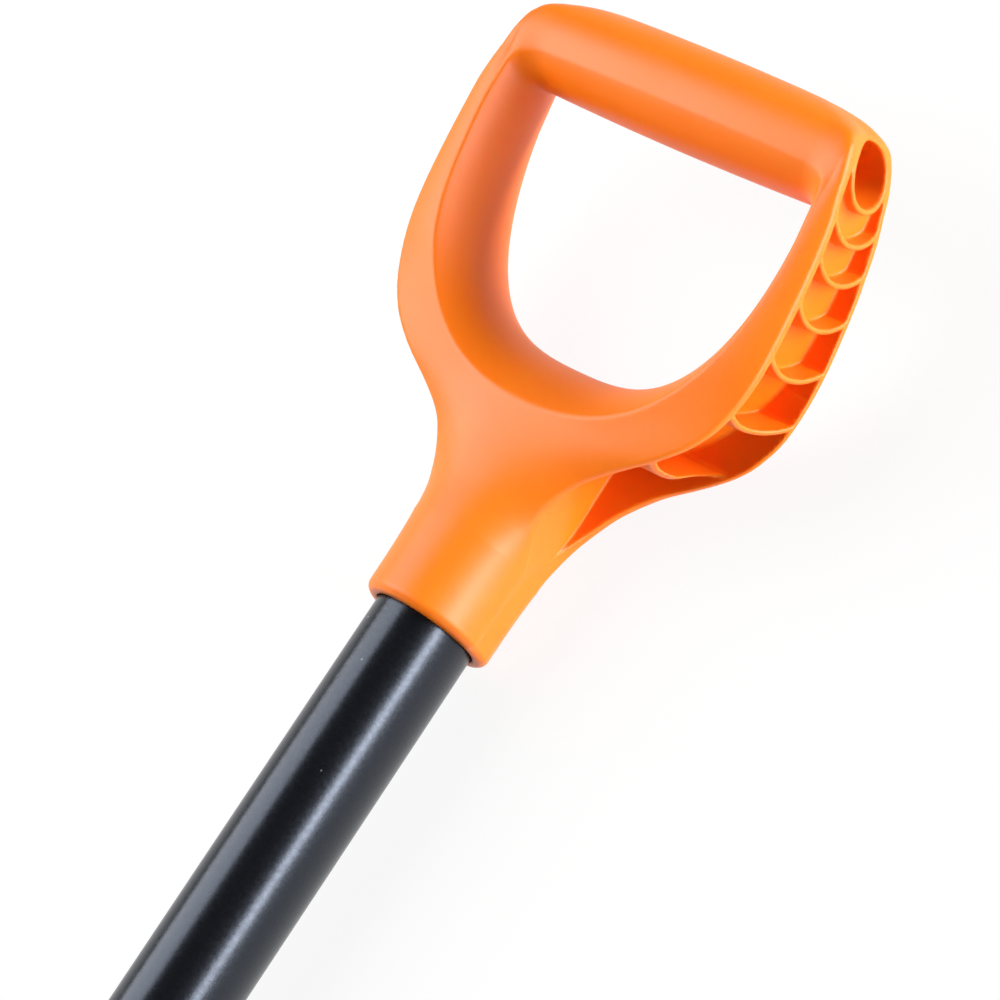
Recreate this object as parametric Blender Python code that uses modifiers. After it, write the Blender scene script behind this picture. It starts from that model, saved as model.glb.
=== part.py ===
"""Snow pusher: D-grip, oval shaft, curved blade with a riveted wear edge. Metres, +Z up.

The tool lies on its back. Y runs along the shaft towards the grip, and the front of the blade
and of the grip faces up. The origin is under the middle of the bounding box.
"""
import math

import bmesh
import bpy
import numpy as np

# Shaft: drawn oval aluminium tube
SHAFT_HALF_WIDTH = 0.0145
SHAFT_HALF_DEPTH = 0.0180
SHAFT_WALL = 0.0015
SHAFT_LENGTH = 1.150

# General clearances
FIT = 0.0003                    # gap between neighbours
HOLE_FIT = 0.0003               # gap round a fastener
PAST = 0.0100                   # how far a cutter runs past what it cuts

# Grip socket, in the grip's own frame: origin at its mouth, Z along the shaft, -Y the front
COLLAR_WALL_SIDE = 0.0039
COLLAR_WALL_FACE = 0.0047
SOCKET_DEPTH = 0.058            # how far the shaft goes in
SOCKET_CHEEK_WALL = 0.0030      # flat cheek of the socket below the ring

# Grip spine: straight in the socket, then bent forward into the hand ring
SPINE_STRAIGHT = 0.034
RING_CANT = math.radians(17.4)
SPINE_BEND_RADIUS = 0.168
RING_DATUM = 0.0491             # length along the spine to the zero of the ring's height scale

# Outer form of the grip at stations along the spine:
# distance, half width, half depth at the edge, half depth on the centre line
GRIP_STATIONS = (
    (0.0260, 0.0187, 0.0060, 0.0230),
    (0.0320, 0.0190, 0.0112, 0.0228),
    (0.0380, 0.0198, 0.0138, 0.0226),
    (0.0464, 0.0222, 0.0152, 0.0224),
    (0.0555, 0.0277, 0.0156, 0.0220),
    (0.0622, 0.0351, 0.0166, 0.0217),
    (0.0686, 0.0431, 0.0176, 0.0215),
    (0.0762, 0.0509, 0.0176, 0.0225),
    (0.0851, 0.0568, 0.0169, 0.0241),
    (0.0939, 0.0603, 0.0164, 0.0260),
    (0.1030, 0.0623, 0.0162, 0.0285),
    (0.1120, 0.0631, 0.0159, 0.0301),
    (0.1216, 0.0633, 0.0154, 0.0309),
    (0.1310, 0.0632, 0.0148, 0.0310),
    (0.1402, 0.0628, 0.0142, 0.0306),
    (0.1493, 0.0621, 0.0134, 0.0285),
    (0.1585, 0.0602, 0.0124, 0.0205),
    (0.1665, 0.0583, 0.0118, 0.0140),
    (0.1725, 0.0560, 0.0100, 0.0118),
    (0.1765, 0.0528, 0.0072, 0.0088),
    (0.1790, 0.0480, 0.0030, 0.0045),
)
MOUTH_EDGE = 0.0004             # half depth at the edge of the round collar
CROWN_CHANGE = 0.0220           # length over which the round section turns into a lens
CROWN_ROUND = 0.5               # exponent of a round section
CROWN_LENS = 1.0                # exponent of a lens
GRIP_RINGS = 32
GRIP_SIDE_POINTS = 15

# Hand opening, in the ring's frame: Z is the ring's height scale, Y its depth
OPENING_HALF_WIDTH = 0.0554
OPENING_BOTTOM = 0.0233
OPENING_ARC_HEIGHT = 0.0690
OPENING_FULLNESS = (2.6, 2.2)   # exponents of the rounded lower half
OPENING_CREASE_DEPTH = 0.0214   # half depth at the crease, at the bottom
OPENING_CREASE_TAPER = 0.0040
BULGE_BOTTOM = 0.0120           # how far the wall swells into the opening
BULGE_ARM = 0.0060
BULGE_FADE = 1.5                # exponent of its change up the arms
OPENING_LEVELS = (0.28, 0.58, 0.89, 1.17)       # depths of the wall's rows, as shares of the crease
RING_WALL = 0.0030

# Cross bar of the grip
BAR_HEIGHT = 0.1175             # on the ring's height scale
BAR_RADIUS = 0.0150
BAR_END_RADIUS = 0.0124
BAR_BORE_RADIUS = 0.0097
BAR_END = 0.0576                # half length
BAR_WEB = 0.0010                # half of the web left between the two bores
BAR_SEGMENTS = 32
TUBE_SEGMENTS = 28              # unlike the bar's, so that no two edges coincide
BORE_SEGMENTS = 26

# Side channels of the grip and their ribs
FLANGE = 0.0024
RIB_COUNT = 6
RIB_THICKNESS = 0.0016
RIB_SAG = 0.0048
RIB_FIRST_PITCH = 0.0091
RIB_PITCH_GROWTH = 0.00203

# Grip screw, driven from the back
SCREW_FROM_MOUTH = 0.0300
SCREW_SHANK_RADIUS = 0.0021
SCREW_HEAD_RADIUS = 0.0040
SCREW_HEAD_HEIGHT = 0.0020
SCREW_RECESS = 0.0026
SCREW_LENGTH = 0.0085
SCREW_POINT = 0.0015

# Blade: a moulded sheet, flat at the edge and then bent to an arc
BLADE_WIDTH = 0.530
BLADE_SHEET = 0.0032
BLADE_RADIUS = 0.220            # of its front face
BLADE_EDGE_SLOPE = math.radians(17.0)
BLADE_TOP_SLOPE = math.radians(58.0)
BLADE_FLAT_PAST_STRIP = 0.012   # flat of the blade left above the steel strip
BLADE_CORNER = 0.060            # rounding of the two upper corners
CORNER_CUT = 0.0090             # the corners stop this far short of a full quarter round
BLADE_ARC_STEPS = 22
RIM_RADIUS = 0.0050
HEEL_PAD_HEIGHT = 0.0050        # how far the pads and back ribs stand behind the sheet
HEEL_PAD_WIDTH = 0.050
HEEL_PAD_LENGTH = 0.034
HEEL_PAD_FROM_SIDE = 0.095
BACK_RIB_WIDTH = 0.0040
BACK_RIB_IN_GUSSET = 0.010      # first rib, inside the gusset's outer end
BACK_RIB_PITCH = 0.045
BACK_RIB_FROM_SIDE = 0.045      # last rib, from the blade's side
BACK_RIB_FROM_FLAT = 0.018      # lower end, along the arc
BACK_RIB_FROM_TOP = 0.032       # upper end, along the arc
BACK_RIB_ROOT = 0.0010          # how far ribs and pads are sunk into the sheet
BACK_RIB_STEPS = 20
SOCKET_WALL_SIDE = 0.0042
SOCKET_WALL_FACE = 0.0044
SOCKET_LENGTH = 0.130           # shaft held in the blade's socket
SHAFT_START = 0.132             # from the blade's lowest line to the shaft's end
SOCKET_TOE = 0.100              # the socket runs on under the blade as a keel
GUSSET_THICKNESS = 0.0050
GUSSET_SPREAD = 0.085
GUSSET_BACK = 0.090             # the gussets start this far before the shaft's end
GUSSET_FROM_BOSS = 0.0085       # they end this far before the first bolt's boss
GUSSET_SHORT = 0.010            # past the shaft's end, at the outer end
WEB_FROM_MOUTH = 0.020          # centre web, from the socket's mouth
WEB_FROM_TOP = 0.038            # centre web, from the blade's top edge along the arc
WEB_SINK = 0.030                # how far it runs in front of the sheet before it is trimmed
SOCKET_RIM = 0.0030             # bead round the socket's mouth
SOCKET_RIM_LENGTH = 0.012

# Wear edge, a steel strip behind the flat of the blade, and its rivets
STRIP_WIDTH = 0.044
STRIP_THICKNESS = 0.0015
STRIP_OVERHANG = 0.006
RIVET_COUNT = 8
RIVET_END_MARGIN = 0.030
RIVET_SEGMENTS = 14
RIVET_RADIUS = 0.0024
RIVET_HEAD_RADIUS = 0.0048
RIVET_HEAD_HEIGHT = 0.0016
RIVET_TAIL_RADIUS = 0.0040
RIVET_TAIL_HEIGHT = 0.0014
RIVET_TAIL_CHAMFER = 0.0005
WASHER_RADIUS = 0.0065
WASHER_THICKNESS = 0.0010

# Socket bolts, across the shaft, with their plug inside the shaft
BOLTS_FROM_MOUTH = (0.070, 0.025)
BOLT_SEGMENTS = 18
BOLT_RADIUS = 0.0030
BOLT_HEAD_RADIUS = 0.0055
BOLT_HEAD_HEIGHT = 0.0032
BOLT_TAIL = 0.0020              # thread past the nut
BOLT_POINT = 0.0010             # chamfer of its end
NUT_ACROSS_CORNERS = 0.0115
NUT_HEIGHT = 0.0050
BOLT_WASHER_RADIUS = 0.0062
BOLT_WASHER_THICKNESS = 0.0012
BOSS_RADIUS = 0.0075
BOSS_HEIGHT = 0.0020            # how far the bosses stand out of the socket
CORE_PAST_BOLT = 0.0100

# Derived places
GRIP_HALF_WIDTH = SHAFT_HALF_WIDTH + FIT + COLLAR_WALL_SIDE
GRIP_HALF_DEPTH = SHAFT_HALF_DEPTH + FIT + COLLAR_WALL_FACE
SOCKET_HALF_WIDTH = SHAFT_HALF_WIDTH + FIT + SOCKET_WALL_SIDE
SOCKET_HALF_DEPTH = SHAFT_HALF_DEPTH + FIT + SOCKET_WALL_FACE
AXIS_HEIGHT = max(GRIP_HALF_DEPTH, SOCKET_HALF_DEPTH + FIT)     # both ends rest on the ground
BLADE_FLAT = STRIP_WIDTH - STRIP_OVERHANG + BLADE_FLAT_PAST_STRIP
RIVET_ROW = (STRIP_WIDTH - STRIP_OVERHANG) / 2      # middle of what the strip and the blade share
BOLT_PLACES = [SOCKET_LENGTH - place for place in BOLTS_FROM_MOUTH]     # from the shaft's end
BOSS_FACE = SOCKET_HALF_WIDTH + BOSS_HEIGHT
GUSSET_LONG = min(BOLT_PLACES) - BOSS_RADIUS - GUSSET_FROM_BOSS
CORE_LENGTH = max(BOLT_PLACES) + CORE_PAST_BOLT
SHEET_BACK = HEEL_PAD_HEIGHT
SHEET_FRONT = SHEET_BACK + BLADE_SHEET
ARC_CENTRE_HEIGHT = SHEET_FRONT + BLADE_RADIUS
COLLAR_FROM_BLADE = SHAFT_START + SHAFT_LENGTH - SOCKET_DEPTH
BAR_BACK_FROM_COLLAR = (SPINE_STRAIGHT + SPINE_BEND_RADIUS * math.sin(RING_CANT)
                        + (RING_DATUM + BAR_HEIGHT - SPINE_STRAIGHT - SPINE_BEND_RADIUS * RING_CANT)
                        * math.cos(RING_CANT))
TOOL_TOP = COLLAR_FROM_BLADE + BAR_BACK_FROM_COLLAR + BAR_RADIUS
TOOL_TIP = -(BLADE_RADIUS * math.sin(BLADE_EDGE_SLOPE)
             + (BLADE_FLAT + STRIP_OVERHANG) * math.cos(BLADE_EDGE_SLOPE)
             + (BLADE_SHEET + FIT + STRIP_THICKNESS) * math.sin(BLADE_EDGE_SLOPE))
MIDDLE = (TOOL_TOP + TOOL_TIP) / 2


def clear_scene():
    for item in list(bpy.data.objects):
        bpy.data.objects.remove(item, do_unlink=True)


def new_collection(name):
    group = bpy.data.collections.new(name)
    bpy.context.scene.collection.children.link(group)
    return group


def make_material(name, colour, roughness, metallic=0.0):
    material = bpy.data.materials.new(name)
    material.use_nodes = True
    shader = material.node_tree.nodes["Principled BSDF"]
    shader.inputs["Base Color"].default_value = (*colour, 1.0)
    shader.inputs["Roughness"].default_value = roughness
    shader.inputs["Metallic"].default_value = metallic
    material.diffuse_color = (*colour, 1.0)
    return material


def add_part(name, mesh, material, parent=None):
    part = bpy.data.objects.new(name, mesh)
    parts.objects.link(part)
    part.parent = parent
    mesh.materials.clear()
    mesh.materials.append(material)
    return part


def add_cutter(name, mesh, parent=None):
    cutter = bpy.data.objects.new(name, mesh)
    cutters.objects.link(cutter)
    cutter.parent = parent
    cutter.hide_render = True
    cutter.display_type = "WIRE"
    return cutter


def combine(target, tool, operation):
    step = target.modifiers.new(operation.lower(), "BOOLEAN")
    step.object = tool
    step.operation = operation
    step.solver = "EXACT"
    return step


def finish_mesh(name, shape):
    bmesh.ops.recalc_face_normals(shape, faces=shape.faces)
    mesh = bpy.data.meshes.new(name)
    shape.to_mesh(mesh)
    shape.free()
    return mesh


def loft(name, rings):
    """Closed solid through rings of equal point count, with flat caps."""
    shape = bmesh.new()
    rows = [[shape.verts.new(point) for point in ring] for ring in rings]
    for low, high in zip(rows, rows[1:]):
        for i in range(len(low)):
            j = (i + 1) % len(low)
            shape.faces.new((low[i], low[j], high[j], high[i]))
    if len(rings) > 2:
        bmesh.ops.triangulate(shape, faces=shape.faces)     # curved quads aren't flat
    shape.faces.new(rows[0][::-1])
    shape.faces.new(rows[-1])
    return finish_mesh(name, shape)


def prism_x(name, outline, start, end):
    """Outline of (y, z) points drawn out along X."""
    return loft(name, [[(x, y, z) for y, z in outline] for x in (start, end)])


def oval(half_width, half_depth, count=48):
    turns = [2 * math.pi * (i + 0.5) / count for i in range(count)]
    return [(half_width * math.cos(a), half_depth * math.sin(a)) for a in turns]


def oval_bar(name, half_width, half_depth, start, end):
    """Oval prism along Z."""
    outline = oval(half_width, half_depth)
    return loft(name, [[(x, y, z) for x, y in outline] for z in (start, end)])


def round_bar_x(name, radius, start, end, segments=32, centre=(0.0, 0.0)):
    """Cylinder along X, its axis through centre (y, z)."""
    y, z = centre
    turns = [2 * math.pi * i / segments for i in range(segments)]
    ring = [(y + radius * math.cos(a), z + radius * math.sin(a)) for a in turns]
    return prism_x(name, ring, start, end)


def lathe(name, profile, segments):
    """Turned solid round Z from a closed profile of (radius, height) points, top to bottom."""
    shape = bmesh.new()
    points = [shape.verts.new((r, 0.0, z)) for r, z in profile]
    loop = list(zip(points, points[1:]))
    if profile[0][0] > 0:
        loop.append((points[-1], points[0]))
    edges = [shape.edges.new(pair) for pair in loop]
    bmesh.ops.spin(shape, geom=points + edges, cent=(0, 0, 0), axis=(0, 0, 1),
                   angle=2 * math.pi, steps=segments, use_merge=True)
    bmesh.ops.remove_doubles(shape, verts=shape.verts, dist=1e-6)
    return finish_mesh(name, shape)


def dome(radius, height, seat):
    """Profile of a low domed head on its seat, from the middle out."""
    turns = [math.pi / 2 * i / 3 for i in range(4)]
    return [(radius * math.sin(a), seat + height * math.cos(a)) for a in turns]


def smooth(table, at):
    """Values of a table (distance, ...) at a distance, on a cubic through its rows."""
    rows = np.array(table)
    place = rows[:, 0]
    slope = np.gradient(rows, place, axis=0)
    at = min(max(at, place[0]), place[-1])
    i = min(int(np.searchsorted(place, at, side="right")) - 1, len(place) - 2)
    span = place[i + 1] - place[i]
    t = (at - place[i]) / span
    return ((1 + 2 * t) * (1 - t) ** 2 * rows[i] + t * (1 - t) ** 2 * span * slope[i]
            + t * t * (3 - 2 * t) * rows[i + 1] + t * t * (t - 1) * span * slope[i + 1])[1:]


def spine(distance):
    """Point (y, z) on the grip's spine and its lean, in the grip's frame."""
    bend_length = SPINE_BEND_RADIUS * RING_CANT
    if distance <= SPINE_STRAIGHT:
        return (0.0, distance), 0.0
    lean = min((distance - SPINE_STRAIGHT) / SPINE_BEND_RADIUS, RING_CANT)
    y = -SPINE_BEND_RADIUS * (1 - math.cos(lean))
    z = SPINE_STRAIGHT + SPINE_BEND_RADIUS * math.sin(lean)
    rest = max(distance - SPINE_STRAIGHT - bend_length, 0.0)
    return (y - rest * math.sin(lean), z + rest * math.cos(lean)), lean


def grip_section(distance):
    """Half width, half depth at the edge, half depth on the centre line, and crown exponent."""
    first = GRIP_STATIONS[0][0]
    if distance < first:
        share = distance / first
        edge = MOUTH_EDGE + (GRIP_STATIONS[0][2] - MOUTH_EDGE) * share ** 3
        return GRIP_HALF_WIDTH, edge, GRIP_HALF_DEPTH, CROWN_ROUND
    width, edge, centre = smooth(GRIP_STATIONS, distance)
    share = min((distance - first) / CROWN_CHANGE, 1.0)
    return width, edge, centre, CROWN_ROUND + (CROWN_LENS - CROWN_ROUND) * share


def grip_form():
    """Outer form of the grip before it is hollowed."""
    top = GRIP_STATIONS[-1][0]
    rings = []
    for k in range(GRIP_RINGS + 1):
        distance = top * k / GRIP_RINGS
        (y, z), lean = spine(distance)
        width, edge, centre, crown = grip_section(distance)
        angles = [math.pi * j / GRIP_SIDE_POINTS for j in range(GRIP_SIDE_POINTS + 1)]
        xs = [-width * math.cos(a) for a in angles]
        depths = [edge + (centre - edge) * max(0.0, 1 - (x / width) ** 2) ** crown for x in xs]
        front = [(x, -d) for x, d in zip(xs, depths)]
        back = [(x, d) for x, d in zip(xs[::-1], depths[::-1])]
        rings.append([(x, y + d * math.cos(lean), z + d * math.sin(lean)) for x, d in front + back])
    return loft("grip_form", rings)


def opening_outline(steps=15):
    """Half outline of the hand opening at its crease, with normals and swell, bottom to top."""
    power_x, power_s = OPENING_FULLNESS
    places = []
    for i in range(steps + 1):
        turn = math.pi / 2 * i / steps
        x = OPENING_HALF_WIDTH * math.sin(turn) ** (2 / power_x)
        s = OPENING_BOTTOM + OPENING_ARC_HEIGHT * (1 - math.cos(turn) ** (2 / power_s))
        places.append((x, s))
    places.append((OPENING_HALF_WIDTH, BAR_HEIGHT))
    half = []
    for i, (x, s) in enumerate(places):
        before = places[max(i - 1, 0)]
        after = places[min(i + 1, len(places) - 1)]
        run, rise = after[0] - before[0], after[1] - before[1]
        if i == 0:
            run, rise = 1.0, 0.0
        length = math.hypot(run, rise)
        share = min((s - OPENING_BOTTOM) / OPENING_ARC_HEIGHT, 1.0)
        swell = BULGE_ARM + (BULGE_BOTTOM - BULGE_ARM) * (1 - share) ** BULGE_FADE
        crease = OPENING_CREASE_DEPTH - OPENING_CREASE_TAPER * share ** 2
        half.append(((x, s), (-rise / length, run / length), swell, crease))
    return half


def opening_form(name, wall):
    """Swollen plug that fills the hand opening, grown outwards by wall."""
    half = opening_outline()
    reach = max(centre for _, _, _, centre in GRIP_STATIONS) + PAST
    above = [share * OPENING_CREASE_DEPTH for share in OPENING_LEVELS] + [reach]
    levels = [-depth for depth in above[::-1]] + [0.0] + above
    rings = []
    for depth in levels:
        right = []
        for (x, s), (nx, ns), swell, crease in half:
            move = swell * max(0.0, 1 - (depth / crease) ** 2) - wall
            right.append((max(x + nx * move, 0.0) if x > 0 else 0.0, s + ns * move))
        left = [(-x, s) for x, s in right[:0:-1]]
        rings.append([(x, depth, s) for x, s in right + left])
    return loft(name, rings)


def channel_form(steps=24):
    """Side view of the hollow between the two flanges, drawn out along X."""
    low = GRIP_STATIONS[0][0]
    high = RING_DATUM + BAR_HEIGHT + RIB_THICKNESS
    front, back = [], []
    for k in range(steps + 1):
        distance = low + (high - low) * k / steps
        (y, z), lean = spine(distance)
        inner = grip_section(distance)[1] - FLANGE
        front.append((y - inner * math.cos(lean), z - inner * math.sin(lean)))
        back.append((y + inner * math.cos(lean), z + inner * math.sin(lean)))
    reach = 2 * BAR_END
    return prism_x("channel_form", front + back[::-1], -reach, reach)


def rib_form(index, low, steps=9):
    """One curved rib between the flanges, drawn out along X, in the ring's frame."""
    reach = grip_section(RING_DATUM + low)[1] - FLANGE
    radius = (reach ** 2 + RIB_SAG ** 2) / (2 * RIB_SAG)
    half_turn = math.asin(min((reach + FLANGE) / radius, 0.98))
    turns = [half_turn * (2 * j / steps - 1) for j in range(steps + 1)]
    outer = [(radius * math.sin(a), low + radius - radius * math.cos(a)) for a in turns]
    inner_radius = radius - RIB_THICKNESS
    inner = [(inner_radius * math.sin(a), low + radius - inner_radius * math.cos(a)) for a in turns]
    across = 2 * BAR_END + PAST
    return prism_x(f"rib_form_{index}", outer + inner[::-1], -across, across)


def build_grip():
    grip = add_part("d_grip", grip_form(), orange, grip_frame)
    opening = add_cutter("hand_opening", opening_form("hand_opening", 0.0), ring_frame)
    combine(grip, opening, "DIFFERENCE")

    stations = [i / 6 for i in range(-6, 7)]
    radii = [BAR_RADIUS - (BAR_RADIUS - BAR_END_RADIUS) * t ** 2 for t in stations]
    turns = [2 * math.pi * i / BAR_SEGMENTS for i in range(BAR_SEGMENTS)]
    barrel = loft("barrel", [[(t * BAR_END, r * math.cos(a), BAR_HEIGHT + r * math.sin(a))
                              for a in turns] for t, r in zip(stations, radii)])
    combine(grip, add_cutter("barrel", barrel, ring_frame), "UNION")

    channel = add_cutter("side_channels", channel_form(), grip_frame)
    low = BAR_HEIGHT - BAR_END_RADIUS
    for k in range(RIB_COUNT):
        low -= RIB_FIRST_PITCH + k * RIB_PITCH_GROWTH
        combine(channel, add_cutter(f"rib_{k + 1}", rib_form(k + 1, low), ring_frame), "DIFFERENCE")
    wall = add_cutter("ring_wall", opening_form("ring_wall", RING_WALL), ring_frame)
    combine(channel, wall, "DIFFERENCE")
    cheek = SHAFT_HALF_WIDTH + FIT + SOCKET_CHEEK_WALL
    top = RING_DATUM + OPENING_BOTTOM + BULGE_BOTTOM
    side = GRIP_HALF_DEPTH + PAST
    block = [(-side, -PAST), (side, -PAST), (side, top), (-side, top)]
    combine(channel, add_cutter("socket_block", prism_x("socket_block", block, -cheek, cheek),
                                grip_frame), "DIFFERENCE")
    across = 2 * BAR_END + 2 * PAST
    tube = round_bar_x("bar_tube", BAR_END_RADIUS - FIT, -across, across, TUBE_SEGMENTS,
                       (0.0, BAR_HEIGHT))
    combine(channel, add_cutter("bar_tube", tube, ring_frame), "DIFFERENCE")
    combine(grip, channel, "DIFFERENCE")

    for side, name in ((-1, "left"), (1, "right")):
        ends = sorted((side * BAR_WEB, side * (BAR_END + PAST)))
        bore = round_bar_x(f"bar_bore_{name}", BAR_BORE_RADIUS, *ends, BORE_SEGMENTS, (0.0, BAR_HEIGHT))
        combine(grip, add_cutter(f"bar_bore_{name}", bore, ring_frame), "DIFFERENCE")
    socket = oval_bar("grip_socket", SHAFT_HALF_WIDTH + FIT, SHAFT_HALF_DEPTH + FIT,
                      -PAST, SOCKET_DEPTH + FIT)
    combine(grip, add_cutter("grip_socket", socket, grip_frame), "DIFFERENCE")
    seat = GRIP_HALF_DEPTH - SCREW_RECESS
    outside = GRIP_HALF_DEPTH + PAST
    bottom = seat - SCREW_LENGTH
    profile = [(0.0, outside), (SCREW_HEAD_RADIUS + HOLE_FIT, outside),
               (SCREW_HEAD_RADIUS + HOLE_FIT, seat), (SCREW_SHANK_RADIUS + HOLE_FIT, seat),
               (SCREW_SHANK_RADIUS + HOLE_FIT, bottom), (0.0, bottom)]
    hole = add_cutter("screw_hole", lathe("screw_hole", profile, 24), screw_frame)
    combine(grip, hole, "DIFFERENCE")
    return hole


def build_grip_screw():
    seat = GRIP_HALF_DEPTH - SCREW_RECESS + FIT
    tip = seat - SCREW_LENGTH
    profile = dome(SCREW_HEAD_RADIUS, SCREW_HEAD_HEIGHT, seat)
    profile += [(SCREW_SHANK_RADIUS, seat), (SCREW_SHANK_RADIUS, tip + SCREW_POINT), (0.0, tip)]
    add_part("grip_screw", lathe("grip_screw", profile, 24), zinc, screw_frame)


def build_shaft(screw_hole):
    tube = oval_bar("shaft_tube", SHAFT_HALF_WIDTH, SHAFT_HALF_DEPTH, 0.0, SHAFT_LENGTH)
    shaft = add_part("shaft_tube", tube, black_paint, shaft_frame)
    bore = oval_bar("shaft_bore", SHAFT_HALF_WIDTH - SHAFT_WALL, SHAFT_HALF_DEPTH - SHAFT_WALL,
                    -PAST, SHAFT_LENGTH + PAST)
    combine(shaft, add_cutter("shaft_bore", bore, shaft_frame), "DIFFERENCE")
    combine(shaft, screw_hole, "DIFFERENCE")
    core_form = oval_bar("shaft_core", SHAFT_HALF_WIDTH - SHAFT_WALL - FIT,
                         SHAFT_HALF_DEPTH - SHAFT_WALL - FIT, FIT, CORE_LENGTH)
    core = add_part("shaft_core", core_form, nylon, shaft_frame)
    across = SHAFT_HALF_WIDTH + PAST
    for k, place in enumerate(BOLT_PLACES, 1):
        form = round_bar_x(f"shaft_bolt_hole_{k}", BOLT_RADIUS + HOLE_FIT, -across, across, 24,
                           (0.0, place))
        hole = add_cutter(f"shaft_bolt_hole_{k}", form, shaft_frame)
        combine(shaft, hole, "DIFFERENCE")
        combine(core, hole, "DIFFERENCE")


def blade_path(steps=BLADE_ARC_STEPS):
    """Front face of the blade in side view, edge to top: (y, z, lean, distance)."""
    path = []
    start_y = -BLADE_RADIUS * math.sin(BLADE_EDGE_SLOPE)
    start_z = ARC_CENTRE_HEIGHT - BLADE_RADIUS * math.cos(BLADE_EDGE_SLOPE)
    for share in (0.0, 0.5):
        back = BLADE_FLAT * (1 - share)
        path.append((start_y - back * math.cos(BLADE_EDGE_SLOPE),
                     start_z + back * math.sin(BLADE_EDGE_SLOPE), -BLADE_EDGE_SLOPE, BLADE_FLAT - back))
    for i in range(steps + 1):
        lean = -BLADE_EDGE_SLOPE + (BLADE_TOP_SLOPE + BLADE_EDGE_SLOPE) * i / steps
        path.append((BLADE_RADIUS * math.sin(lean), ARC_CENTRE_HEIGHT - BLADE_RADIUS * math.cos(lean),
                     lean, BLADE_FLAT + BLADE_RADIUS * (lean + BLADE_EDGE_SLOPE)))
    return path


def behind_blade(lean, depth):
    """Point (y, z) behind the blade's arc, at a depth from its front face."""
    reach = BLADE_RADIUS + depth
    return reach * math.sin(lean), ARC_CENTRE_HEIGHT - reach * math.cos(lean)


def blade_half_width(distance, length):
    """Half width of the blade at a distance from its edge, with rounded upper corners."""
    past = distance - (length - BLADE_CORNER)
    if past <= 0:
        return BLADE_WIDTH / 2
    return BLADE_WIDTH / 2 - BLADE_CORNER + math.sqrt(max(BLADE_CORNER ** 2 - past ** 2, 0.0))


def blade_sheet():
    path = blade_path()
    length = path[-1][3]
    shape = bmesh.new()
    rows = []
    for y, z, lean, distance in path:
        half = blade_half_width(min(distance, length - CORNER_CUT), length)
        rows.append([shape.verts.new((half * t, y, z)) for t in (-1, -0.5, 0, 0.5, 1)])
    for low, high in zip(rows, rows[1:]):
        for i in range(4):
            shape.faces.new((low[i], low[i + 1], high[i + 1], high[i]))
    mesh = bpy.data.meshes.new("blade")
    shape.to_mesh(mesh)
    shape.free()
    return mesh


def build_blade_socket(path):
    """Socket behind the blade with its rim, bolt bosses and gussets, not yet trimmed or bored."""
    mouth = SHAFT_START + SOCKET_LENGTH
    body = oval_bar("blade_socket", SOCKET_HALF_WIDTH, SOCKET_HALF_DEPTH, SHAFT_START - SOCKET_TOE, mouth)
    socket = add_cutter("blade_socket", body, axis_frame)
    rim = oval_bar("socket_rim", SOCKET_HALF_WIDTH + SOCKET_RIM, SOCKET_HALF_DEPTH + FIT,
                   mouth - SOCKET_RIM_LENGTH, mouth)
    combine(socket, add_cutter("socket_rim", rim, axis_frame), "UNION")
    for k, place in enumerate(BOLT_PLACES, 1):
        boss = round_bar_x(f"bolt_boss_{k}", BOSS_RADIUS, -BOSS_FACE, BOSS_FACE, 32,
                           (0.0, SHAFT_START + place))
        combine(socket, add_cutter(f"bolt_boss_{k}", boss, axis_frame), "UNION")

    # One web below the top edge, in the plane of symmetry, and two beside the socket
    top_y, top_z = behind_blade(BLADE_TOP_SLOPE - WEB_FROM_TOP / BLADE_RADIUS, BLADE_SHEET)
    low_y = path[len(path) // 2][0]
    outline = [(low_y, SHEET_FRONT), (mouth - WEB_FROM_MOUTH, AXIS_HEIGHT), (top_y, top_z),
               (top_y - WEB_SINK, top_z + WEB_SINK)]
    half = GUSSET_THICKNESS / 2
    web = prism_x("centre_gusset", outline, -half, half)
    combine(socket, add_cutter("centre_gusset", web, blade_frame), "UNION")
    low, high = AXIS_HEIGHT - half, AXIS_HEIGHT + half
    back = SHAFT_START - GUSSET_BACK
    for side, name in ((-1, "left"), (1, "right")):
        rings = []
        for x, reach in ((side * SHAFT_HALF_WIDTH, GUSSET_LONG), (side * GUSSET_SPREAD, GUSSET_SHORT)):
            end = SHAFT_START + reach
            rings.append([(x, back, low), (x, end, low), (x, end, high), (x, back, high)])
        side_web = add_cutter(f"gusset_{name}", loft(f"gusset_{name}", rings), blade_frame)
        combine(socket, side_web, "UNION")
    return socket


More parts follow.
